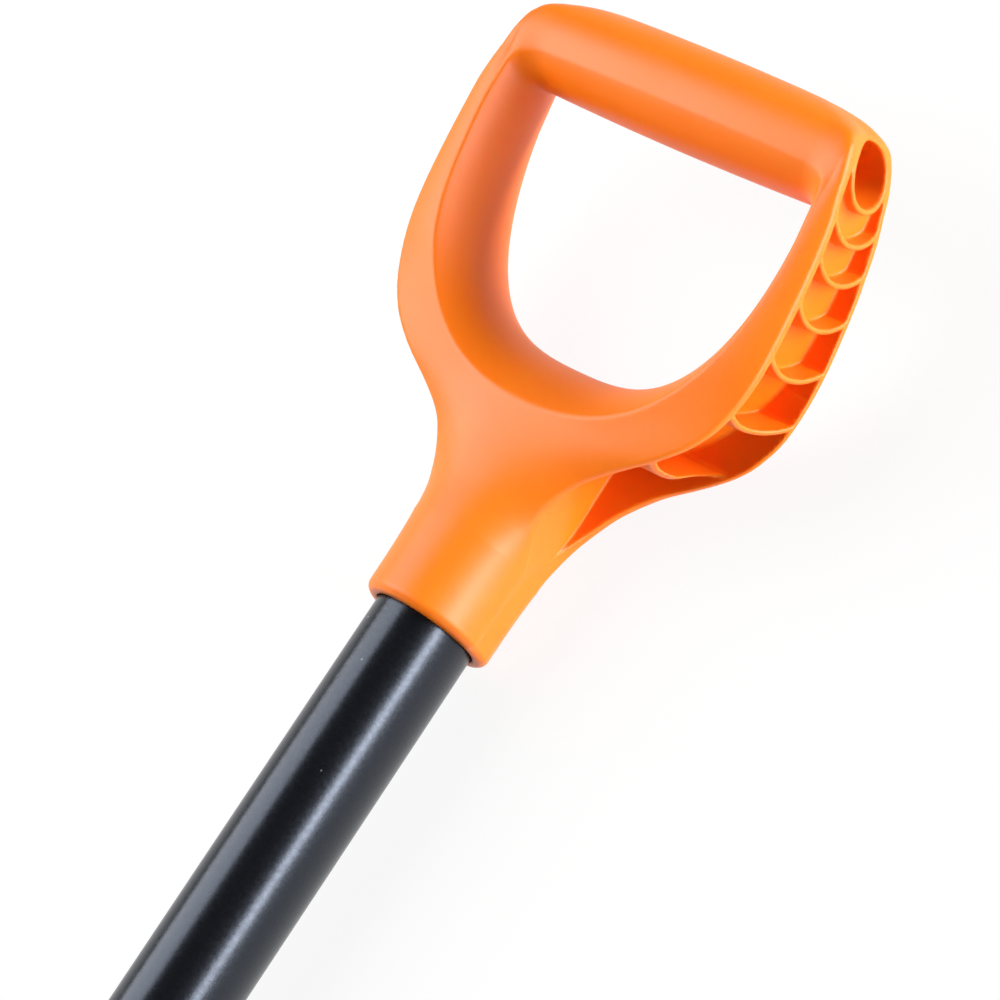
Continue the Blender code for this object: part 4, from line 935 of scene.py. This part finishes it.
def repeated_mesh(name, mesh, material, lines, smooth_angle=40):
    """The master mesh repeated along the lines as one plain mesh."""
    item = add_object(f"{name}_master", mesh)
    step = item.modifiers.new("repeat", "NODES")
    step.node_group, values = repeat_tree(f"{name}_repeat", material, lines)
    for identifier, value in values.items():
        step[identifier] = value
    return finished_mesh(item, name, smooth_angle)


def rib_master():
    """One back rib on the middle plane: a rounded bar on the arc with sloped ends, sunk into the sheet."""
    first = BLADE_FLAT + RIB_FROM_FLAT
    last = BLADE_LENGTH - RIB_FROM_TOP
    # Right half of its section: share of the half width, and share of the height
    section = ((0.36, 0.985), (0.72, 0.88), (0.92, 0.62))
    half = RIB_WIDTH / 2
    shape = bmesh.new()
    rows = []
    for k in range(RIB_STEPS + 1):
        distance = first + (last - first) * k / RIB_STEPS
        near = min(distance - first, last - distance)
        rise = RIB_HEIGHT * min(1.0, 0.02 + near / RIB_RUN_OUT) ** 0.7
        right = [(half * x, rise * share) for x, share in section] + [(half, -RIB_SINK)]
        row = []
        for x, depth in [(-x, depth) for x, depth in right[::-1]] + [(0.0, rise)] + right:
            y, z, _ = on_blade(distance, BLADE_SHEET + depth)
            row.append(shape.verts.new((x, y, z)))
        rows.append(row)
    add_quads(shape, rows, caps=True)
    return mesh_from(shape, "back_rib")


def pad_master():
    """One heel pad: drafted sides, a flat sole on the ground, its top inside the sheet."""
    shape = bmesh.new()
    bmesh.ops.create_cube(shape, size=1.0)
    top = RIB_HEIGHT + PAD_INTO_SHEET
    for v in shape.verts:
        high = v.co.z > 0
        draft = 0.0 if high else PAD_DRAFT
        v.co.x = math.copysign(PAD_WIDTH / 2 - draft, v.co.x)
        v.co.y = BLADE_LINE + math.copysign(PAD_LENGTH / 2 - draft, v.co.y)
        v.co.z = top if high else 0.0
    upright = [e for e in shape.edges if abs(e.verts[0].co.z - e.verts[1].co.z) > top / 2]
    bmesh.ops.bevel(shape, geom=upright, offset=PAD_CORNER, segments=6, affect="EDGES", profile=0.5)
    sole = [e for e in shape.edges if max(v.co.z for v in e.verts) < 1e-6]
    bmesh.ops.bevel(shape, geom=sole, offset=PAD_SOLE_ROUNDING, segments=3, affect="EDGES", profile=0.5)
    return mesh_from(shape, "heel_pad")


def build_back_ribs():
    lines = [("inner ribs", 2, (RIB_FIRST, 0, 0), (RIB_PITCH, 0, 0), True),
             ("outer rib", 1, (RIB_LAST, 0, 0), (RIB_PITCH, 0, 0), True)]
    mesh = repeated_mesh("back_ribs", rib_master(), black_polypropylene, lines)
    place_piece("back_ribs", mesh, black_polypropylene, "blade")
    lines = [("pads", 1, (BLADE_WIDTH / 2 - PAD_FROM_SIDE, 0, 0), (PAD_WIDTH, 0, 0), True)]
    mesh = repeated_mesh("heel_pads", pad_master(), black_polypropylene, lines, 30)
    place_piece("heel_pads", mesh, black_polypropylene, "blade")


build_back_ribs()


# Blade socket
# The shaft's socket on the back of the blade, moulded with it: an oval barrel with a beaded mouth,
# round bosses for two bolts, a keel under the sheet, a web up the middle and a gusset on each side,
# all run into the sheet with fillets.
SOCKET_HALF_WIDTH = 0.0190
SOCKET_HALF_DEPTH = 0.0227
SOCKET_TOE = 0.032              # its ends, from the blade's lowest line
SOCKET_FLOOR = 0.1317
SOCKET_MOUTH = 0.262
MOUTH_BEAD = 0.0030
MOUTH_BEAD_LENGTH = 0.012
MOUTH_BEAD_ROUNDING = 0.0014
MOUTH_BEAD_FILLET = 0.0015
BOSS_RADIUS = 0.0075
BOSS_FACE = 0.0210
WEB_THICKNESS = 0.0050
WEB_FROM_MOUTH = 0.020
WEB_FROM_TOP = 0.038
GUSSET_SPREAD = 0.085
GUSSET_BACK = 0.042             # the gussets' ends, from the blade's lowest line
GUSSET_INNER_END = 0.176
GUSSET_OUTER_END = 0.142
SHEET_FILLET = 0.0060
SHEET_SINK = 0.00006            # of the fillet's thin edge below the sheet's back face
FILLET_REACH = 0.0085           # from the socket's own skin
GROUND_GAP = 0.0001
MOUTH_ROUNDING = 0.0005
PLATE_ROUNDING = 0.0012         # of the webs and the bosses
BOSS_FILLET = 0.0030
GUSSET_CORNER = 0.0030
GUSSET_TAPER = 0.0006           # of its half thickness, outwards
WEB_FILLET = 0.0035
WEB_ROUNDING = 0.0010
SOCKET_PITCH = 0.00135


def socket_field(points):
    """Distance to the socket's skin; y runs from the blade's lowest line, z up from the shaft's axis."""
    x, y = np.abs(points[:, 0]), points[:, 1]
    z = points[:, 2] - SHAFT_AXIS_HEIGHT
    body = round_max(oval_field(x, z, SOCKET_HALF_WIDTH, SOCKET_HALF_DEPTH),
                     np.maximum(SOCKET_TOE - y, y - SOCKET_MOUTH), PLATE_ROUNDING)
    bead = oval_field(x, z, SOCKET_HALF_WIDTH + MOUTH_BEAD, SOCKET_HALF_DEPTH + 0.0003)
    from_bead = np.abs(y - SOCKET_MOUTH + MOUTH_BEAD_LENGTH / 2)
    bead = round_max(bead, from_bead - MOUTH_BEAD_LENGTH / 2, MOUTH_BEAD_ROUNDING)
    body = round_min(body, bead, MOUTH_BEAD_FILLET)
    for place in BOLT_PLACES:
        boss = np.hypot(y - place + BLADE_LINE, z) - BOSS_RADIUS
        body = round_min(body, round_max(boss, x - BOSS_FACE, PLATE_ROUNDING), BOSS_FILLET)

    # Gussets: flat webs beside the socket, slightly thinner outwards
    run = (GUSSET_OUTER_END - GUSSET_INNER_END) / (GUSSET_SPREAD - SHAFT_HALF_WIDTH)
    slope = math.hypot(1, run)
    end = (y - GUSSET_INNER_END - run * (x - SHAFT_HALF_WIDTH)) / slope
    thick = WEB_THICKNESS / 2 - GUSSET_TAPER * np.clip(x / GUSSET_SPREAD, 0, 1)
    gusset = round_max(np.maximum(end, GUSSET_BACK - y), x - GUSSET_SPREAD, GUSSET_CORNER)
    gusset = round_max(gusset, np.abs(z) - thick, PLATE_ROUNDING)
    body = round_min(body, gusset, WEB_FILLET)

    # Centre web from the socket's top up the back of the sheet
    lean = BLADE_TOP_SLOPE - WEB_FROM_TOP / BLADE_RADIUS
    reach = BLADE_RADIUS + BLADE_SHEET
    top_y = reach * math.sin(lean)
    top_z = BLADE_CENTRE_HEIGHT - reach * math.cos(lean) - SHAFT_AXIS_HEIGHT
    low_y = SOCKET_MOUTH - WEB_FROM_MOUTH
    length = math.hypot(top_y - low_y, top_z)
    over = ((y - low_y) * top_z - z * (top_y - low_y)) / length
    web = round_max(over, np.maximum(-z, SOCKET_TOE + 0.02 - y), WEB_ROUNDING)
    web = round_max(web, x - WEB_THICKNESS / 2, PLATE_ROUNDING)
    body = round_min(body, web, WEB_FILLET)

    # Fillet to the sheet, sunk just below its back face, and trimmed inside its thickness
    from_centre = np.hypot(y, points[:, 2] - BLADE_CENTRE_HEIGHT)
    skin = round_min(body, from_centre - BLADE_RADIUS - BLADE_SHEET + SHEET_SINK, SHEET_FILLET)
    skin = np.maximum(skin, BLADE_RADIUS + BLADE_SHEET / 4 - from_centre)
    skin = np.maximum(skin, body - FILLET_REACH)
    skin = round_max(skin, -SHAFT_AXIS_HEIGHT + GROUND_GAP - z, MOUTH_ROUNDING)
    skin = round_max(skin, -np.maximum(shaft_bore(x, z), SOCKET_FLOOR - y), MOUTH_ROUNDING)
    for place in BOLT_PLACES:
        hole = np.hypot(y - place + BLADE_LINE, z) - BOLT_HOLE_RADIUS
        skin = np.maximum(skin, -hole)
    return skin


def build_blade_socket():
    # The box that holds the socket, in the frame of its field
    low, high = (0, 0.020, -0.002), (0.100, 0.266, 0.125)
    points, normals, quads = skin_field(socket_field, low, high, SOCKET_PITCH)
    points[:, 1] += BLADE_LINE
    mesh = skin_mesh("blade_socket", points, quads, normals)
    place_piece("blade_socket", mesh, black_polypropylene, "blade")


build_blade_socket()


# Wear edge
# A strip of cold-rolled carbon steel behind the flat of the blade, 6 mm ahead of the plastic, so that
# ice and gravel meet steel. Its corners are rounded and its leading edge is ground to a bevel.
STRIP_WIDTH = 0.044
STRIP_THICKNESS = 0.0015
STRIP_OVERHANG = 0.006
STRIP_GAP = 0.0003
STRIP_BEVEL = 0.0035
STRIP_CORNER = 0.0040
STRIP_FACE = 0.6                # share of its thickness that the ground bevel takes off in front
STRIP_EDGE_BREAK = 0.00018
STRIP_CLEAR = 0.002             # how far the bevel's cutter runs past the strip
RIVET_COUNT = 8
RIVET_END_MARGIN = 0.030
RIVET_ROW = 0.019
RIVET_HOLE_RADIUS = 0.0027


def edge_frame():
    """From the wear edge's frame (y away from the leading edge, z out of the front face) to the tool's."""
    y, z, lean = on_blade(0.0)
    return Matrix.Translation((0, y, z)) @ Matrix.Rotation(lean, 4, "X")


def rivet_places():
    span = BLADE_WIDTH - 2 * RIVET_END_MARGIN
    return [-span / 2 + span * k / (RIVET_COUNT - 1) for k in range(RIVET_COUNT)]


def rolled_steel():
    """Cold-rolled carbon steel: grey metal with fine rolling lines along the strip and brighter
    scratches across it."""
    material, tree, place = new_finish("cold_rolled_steel")
    # Rolling lines are some 0.2 mm apart and tens of millimetres long; drawn 0.5 mm apart
    long = add_node(tree, "ShaderNodeMapping", {"Vector": place, "Scale": (0.02, 1.0, 1.0)})
    lines = add_node(tree, "ShaderNodeTexNoise", {"Vector": long, "Scale": 2000.0, "Detail": 3.0})
    # Scratches from gravel run across the strip, 2 to 5 mm apart
    across = add_node(tree, "ShaderNodeMapping", {"Vector": place, "Scale": (1.0, 0.05, 0.05),
                                                  "Rotation": (0, 0, 0.08)})
    scratch = add_node(tree, "ShaderNodeTexNoise", {"Vector": across, "Scale": 900.0, "Detail": 4.0})
    marks = add_node(tree, "ShaderNodeMapRange", {"Value": scratch, "From Min": 0.62, "From Max": 0.70})
    bright = add_node(tree, "ShaderNodeMix", {"Factor": lines, "A": paint("#8E9092"), "B": paint("#B3B5B6")},
                      data_type="RGBA")
    set_surface(tree, marks, (bright, "#D2D3D4"), (lines, 0.28, 0.42), (scratch, 0.15, 0.0002),
                {"Metallic": 1.0})
    return material


def build_wear_edge():
    half, lead, back = BLADE_WIDTH / 2, -STRIP_OVERHANG, STRIP_WIDTH - STRIP_OVERHANG
    inner, low, high = half - STRIP_CORNER, lead + STRIP_CORNER, back - STRIP_CORNER
    outline = []
    for cx, cy, start in ((inner, low, -90), (inner, high, 0), (-inner, high, 90), (-inner, low, 180)):
        for k in range(9):
            turn = math.radians(start + 90 * k / 8)
            outline.append((cx + STRIP_CORNER * math.cos(turn), cy + STRIP_CORNER * math.sin(turn)))
    top = -BLADE_SHEET - STRIP_GAP
    bottom = top - STRIP_THICKNESS
    shape = bmesh.new()
    face = shape.faces.new([shape.verts.new((x, y, top)) for x, y in outline])
    moved = bmesh.ops.extrude_face_region(shape, geom=[face])["geom"]
    for v in [v for v in moved if isinstance(v, bmesh.types.BMVert)]:
        v.co.z = bottom
    strip = add_object("wear_edge_form", mesh_from(shape, "wear_edge_form"))

    # The ground bevel takes the lower part of the leading edge off
    wedge = bmesh.new()
    before, under = lead - STRIP_CLEAR, bottom - STRIP_CLEAR
    face_height = bottom + STRIP_FACE * STRIP_THICKNESS
    corner = [(before, under), (lead + STRIP_BEVEL, under), (lead + STRIP_BEVEL, bottom),
              (lead, face_height), (before, face_height)]
    ends = [[wedge.verts.new((x, y, z)) for y, z in corner]
            for x in (-half - STRIP_CLEAR, half + STRIP_CLEAR)]
    add_quads(wedge, ends, caps=True)
    cut_out(strip, "edge_bevel", mesh_from(wedge, "edge_bevel"))
    soften(strip, STRIP_EDGE_BREAK, 2, 20)
    mesh = finished_mesh(strip, "steel_wear_edge", 25)
    holes = [(RIVET_HOLE_RADIUS, (x, RIVET_ROW, 0), 0.02, (0, 0, 1)) for x in rivet_places()]
    mesh = drilled("steel_wear_edge", mesh, holes, 25)
    mesh.transform(edge_frame())
    place_piece("steel_wear_edge", mesh, rolled_steel(), "wear_edge", "wear_edge")


build_wear_edge()


# Rivets and washers
# Eight aluminium rivets hold the strip through the sheet: a low domed head on a flat washer in
# front, and a closed tail behind the strip.
RIVET_RADIUS = 0.0024
RIVET_HEAD_RADIUS = 0.0048
RIVET_HEAD_HEIGHT = 0.0016
RIVET_TAIL_RADIUS = 0.0040
RIVET_TAIL_HEIGHT = 0.0014
WASHER_RADIUS = 0.0065
WASHER_THICKNESS = 0.0010
FASTENER_GAP = 0.0003


def turned(shape, profile, segments=40):
    """A turned solid round Z from a profile of (radius, height) points. The profile runs from the axis
    back to the axis, or starts off it and is closed to a ring."""
    points = [shape.verts.new((r, 0.0, z)) for r, z in profile]
    loop = list(zip(points, points[1:]))
    if profile[0][0] > 0:
        loop.append((points[-1], points[0]))
    edges = [shape.edges.new(pair) for pair in loop]
    bmesh.ops.spin(shape, geom=points + edges, cent=(0, 0, 0), axis=(0, 0, 1), angle=2 * math.pi,
                   steps=segments, use_merge=True)
    bmesh.ops.remove_doubles(shape, verts=shape.verts, dist=1e-6)


def domed(radius, height, seat, edge=0.0003, steps=10):
    """Profile of a low domed head on its seat, from the axis out and round its small edge."""
    ball = (radius ** 2 + (height - edge) ** 2) / (2 * (height - edge))
    reach = math.asin(min(radius / ball, 1.0))
    cap = [(ball * math.sin(reach * k / steps), seat + height - ball + ball * math.cos(reach * k / steps))
           for k in range(steps + 1)]
    return cap + [(radius, seat + 0.4 * edge), (radius - 0.3 * edge, seat)]


def washer_profile(inner, outer, low, high, edge=0.00015):
    return [(inner, high), (outer - edge, high), (outer, high - edge), (outer, low + edge),
            (outer - edge, low), (inner, low)]


def rivet_aluminium():
    """Soft aluminium, cold headed: pale satin metal, slightly mottled where the snap pressed it."""
    material, tree, place = new_finish("cold_headed_aluminium")
    # Mottle of the pressed skin, about 0.6 mm across
    mottle = add_node(tree, "ShaderNodeTexNoise", {"Vector": place, "Scale": 1600.0, "Detail": 2.0})
    set_surface(tree, mottle, ("#C4C6C8", "#DEDFE0"), (mottle, 0.28, 0.40), (mottle, 0.15, 0.0001),
                {"Metallic": 1.0})
    return material


def build_rivets():
    washer_top = FASTENER_GAP + WASHER_THICKNESS
    seat = washer_top + FASTENER_GAP
    tail = -BLADE_SHEET - STRIP_THICKNESS - 2 * FASTENER_GAP
    end = tail - RIVET_TAIL_HEIGHT
    profile = domed(RIVET_HEAD_RADIUS, RIVET_HEAD_HEIGHT, seat)
    profile += [(RIVET_RADIUS, seat), (RIVET_RADIUS, tail), (RIVET_TAIL_RADIUS - 0.0001, tail),
                (RIVET_TAIL_RADIUS, tail - 0.0003), (RIVET_TAIL_RADIUS - 0.0002, end + 0.0004),
                (RIVET_TAIL_RADIUS - 0.0007, end), (0.0012, end), (0.0009, end + 0.0003), (0.0, end + 0.0003)]
    shape = bmesh.new()
    turned(shape, profile)
    turned(shape, washer_profile(RIVET_HOLE_RADIUS, WASHER_RADIUS, FASTENER_GAP, washer_top))
    places = rivet_places()
    lines = [("rivets", RIVET_COUNT, (places[0], RIVET_ROW, 0), (places[1] - places[0], 0, 0), False)]
    aluminium = rivet_aluminium()
    mesh = repeated_mesh("rivets_and_washers", mesh_from(shape, "rivet_and_washer"), aluminium, lines, 35)
    mesh.transform(edge_frame())
    nodes = [f"wear_{kind}_{k}" for kind in ("rivet", "washer") for k in range(1, RIVET_COUNT + 1)]
    place_piece("rivets_and_washers", mesh, aluminium, "rivet", *nodes)


build_rivets()


# Socket bolts
# Two M6 machine screws across the socket, the shaft and its core, each with a low button head with a
# hexagon recess, two plain washers and a hexagon nut, all bright zinc-plated steel.
BOLT_RADIUS = 0.0030
BOLT_HEAD_RADIUS = 0.0055
BOLT_HEAD_HEIGHT = 0.0032
BOLT_TAIL = 0.0020
BOLT_WASHER_RADIUS = 0.0062
BOLT_WASHER_THICKNESS = 0.0012
NUT_ACROSS_CORNERS = 0.0115
NUT_HEIGHT = 0.0050
HEX_KEY = 0.0040                # across the flats of the recess
THREAD_PITCH = 0.0010
THREAD_DEPTH = 0.00035
THREAD_START = 0.0004           # from the nut's inner face
BOLT_CHAMFER = 0.0008
BOLT_SEGMENTS = 48


def add_nut(shape, low, high):
    """A hexagon nut with turned-off corners and a plain bore, round Z between two heights."""
    corner = NUT_ACROSS_CORNERS / 2
    flat = corner * math.cos(math.pi / 6)
    chamfer = 0.35 * (corner - flat)
    turned_off = flat - 0.0002
    inner = BOLT_RADIUS + FASTENER_GAP
    rows = []
    for z, limit in ((high, turned_off), (high - chamfer, corner), (low + chamfer, corner),
                     (low, turned_off), (low, inner), (high, inner)):
        row = []
        for a in full_turn(BOLT_SEGMENTS):
            reach = flat / math.cos((a + math.pi / 6) % (math.pi / 3) - math.pi / 6)
            r = min(reach, limit)
            row.append(shape.verts.new((r * math.cos(a), r * math.sin(a), z)))
        rows.append(row)
    add_quads(shape, rows + rows[:1])


def bolt_master():
    """One bolt with its washers and nut, its axis along X, its head to the right."""
    washer_in = BOSS_FACE + FASTENER_GAP
    washer_out = washer_in + BOLT_WASHER_THICKNESS
    seat = washer_out + FASTENER_GAP
    end = -seat - NUT_HEIGHT - BOLT_TAIL
    z = -seat - THREAD_START
    profile = domed(BOLT_HEAD_RADIUS, BOLT_HEAD_HEIGHT, seat) + [(BOLT_RADIUS, seat), (BOLT_RADIUS, z)]
    while z - THREAD_PITCH > end + BOLT_CHAMFER:
        profile += [(BOLT_RADIUS - THREAD_DEPTH, z - THREAD_PITCH / 2), (BOLT_RADIUS, z - THREAD_PITCH)]
        z -= THREAD_PITCH
    profile += [(BOLT_RADIUS - BOLT_CHAMFER, end), (0.0, end)]
    shape = bmesh.new()
    turned(shape, profile, BOLT_SEGMENTS)
    for low, high in ((washer_in, washer_out), (-washer_out, -washer_in)):
        profile = washer_profile(BOLT_RADIUS + FASTENER_GAP, BOLT_WASHER_RADIUS, low, high)
        turned(shape, profile, BOLT_SEGMENTS)
    add_nut(shape, -seat - NUT_HEIGHT, -seat)
    item = add_object("bolt_set_form", mesh_from(shape, "bolt_set"))
    key = bmesh.new()
    reach = HEX_KEY / math.sqrt(3)
    bmesh.ops.create_cone(key, cap_ends=True, segments=6, radius1=reach, radius2=reach, depth=0.004,
                          matrix=Matrix.Translation((0, 0, seat + BOLT_HEAD_HEIGHT)))
    cut_out(item, "hex_key", mesh_from(key, "hex_key"))
    mesh = finished_mesh(item, "bolt_set", 30)
    mesh.transform(Matrix.Rotation(math.radians(90), 4, "Y"))
    return mesh


def build_bolts():
    start = (0, BOLT_PLACES[0], SHAFT_AXIS_HEIGHT)
    lines = [("bolts", 2, start, (0, BOLT_PLACES[1] - BOLT_PLACES[0], 0), False)]
    mesh = repeated_mesh("socket_bolts", bolt_master(), bright_zinc, lines, 30)
    nodes = [f"{kind}_{k}" for kind in ("socket_bolt", "bolt_washer_head", "bolt_washer_nut", "socket_nut")
             for k in (1, 2)]
    place_piece("socket_bolts", mesh, bright_zinc, "zinc", *nodes)


build_bolts()


# Ground and light
# A plain pale studio floor under the tool, a large softbox high on the tool's left, a long strip box
# low on its right, and a surrounding that is white at the horizon and dim overhead.
FLOOR_SIZE = 6.0
FLOOR_GAP = 0.0004
FLOOR_WHITE = 0.90              # share of plain white in what the camera sees; the rest keeps the shadow
LIGHT_AIM = (0, 0.62, 0.03)     # the middle of the grip
LIGHT_DISTANCE = 1.6
HORIZON = (0.02, 0.12)          # height at which the surrounding starts to dim, and ends
CEILING_LEVEL = 0.07


def studio_floor():
    """Matt pale floor that shows as near white, to the camera and in reflections."""
    material = bpy.data.materials.new("studio_floor")
    material.use_nodes = True
    tree = material.node_tree
    matt = tree.nodes["Principled BSDF"]
    set_inputs(matt, {"Base Color": paint("#F4F4F4"), "Roughness": 0.9})
    path = add_node(tree, "ShaderNodeLightPath").outputs
    seen = add_node(tree, "ShaderNodeMath", {0: path["Is Camera Ray"], 1: path["Is Glossy Ray"]},
                    operation="MAXIMUM")
    seen = add_node(tree, "ShaderNodeMath", {0: seen, 1: path["Is Transmission Ray"]}, operation="MAXIMUM")
    share = add_node(tree, "ShaderNodeMath", {0: seen, 1: FLOOR_WHITE}, operation="MULTIPLY")
    white = add_node(tree, "ShaderNodeEmission", {"Color": (1, 1, 1, 1), "Strength": 1.0})
    mix = add_node(tree, "ShaderNodeMixShader", {0: share, 1: matt, 2: white})
    set_inputs(tree.nodes["Material Output"], {"Surface": mix})
    return material


def build_floor():
    shape = bmesh.new()
    bmesh.ops.create_grid(shape, x_segments=1, y_segments=1, size=FLOOR_SIZE)
    floor = add_object("floor", mesh_from(shape, "floor", closed=False))
    floor.location = (0, 0, -FLOOR_GAP)
    floor.data.materials.append(studio_floor())


def towards(azimuth, elevation):
    a, e = math.radians(azimuth), math.radians(elevation)
    return Vector((math.sin(a) * math.cos(e), -math.cos(a) * math.cos(e), math.sin(e)))


def softbox(name, azimuth, elevation, size, power):
    """An area lamp round the grip, aimed at it."""
    lamp = bpy.data.lights.new(name, "AREA")
    lamp.shape = "RECTANGLE"
    lamp.size, lamp.size_y = size
    lamp.energy = power
    item = add_object(name, lamp)
    back = towards(azimuth, elevation)
    item.location = Vector(LIGHT_AIM) + back * LIGHT_DISTANCE
    item.rotation_mode = "QUATERNION"
    item.rotation_quaternion = back.to_track_quat("Z", "Y")


def build_world():
    """White to the horizon, fading to a dim ceiling overhead."""
    world = bpy.data.worlds.new("studio_surround")
    bpy.context.scene.world = world
    world.use_nodes = True
    tree = world.node_tree
    place = add_node(tree, "ShaderNodeTexCoord").outputs["Generated"]
    up = add_node(tree, "ShaderNodeSeparateXYZ", {"Vector": place}).outputs["Z"]
    level = add_node(tree, "ShaderNodeMapRange", {"Value": up, "From Min": HORIZON[0], "From Max": HORIZON[1],
                                                  "To Min": 1.0, "To Max": CEILING_LEVEL})
    set_inputs(tree.nodes["Background"], {"Color": (1, 1, 1, 1), "Strength": level})


build_floor()
build_world()
softbox("softbox_left", azimuth=-78, elevation=47, size=(1.35, 1.8), power=45)
softbox("softbox_right", azimuth=116, elevation=6, size=(2.1, 0.36), power=57)


# Camera
# A long lens above the grip's right side, turned so that the shaft runs to the lower left.
CAMERA_AIM = (0.001775, 0.623819, 0.03)
CAMERA_DISTANCE = 1.1643
CAMERA_AZIMUTH = 69.28
CAMERA_ELEVATION = 56.11
CAMERA_ROLL = math.radians(-38.967)
CAMERA_LENS = 151.2


def build_camera():
    data = bpy.data.cameras.new("camera")
    data.lens = CAMERA_LENS
    data.sensor_width = 36.0
    data.clip_start = 0.05
    data.clip_end = 50.0
    item = add_object("camera", data)
    back = towards(CAMERA_AZIMUTH, CAMERA_ELEVATION)
    level = towards(CAMERA_AZIMUTH + 90, 0)
    right = level * math.cos(CAMERA_ROLL) + back.cross(level) * math.sin(CAMERA_ROLL)
    turn = Matrix((right, back.cross(right), back)).transposed().to_4x4()
    item.matrix_world = Matrix.Translation(Vector(CAMERA_AIM) + back * CAMERA_DISTANCE) @ turn
    bpy.context.scene.camera = item


build_camera()
bpy.context.scene.view_settings.view_transform = "Standard"
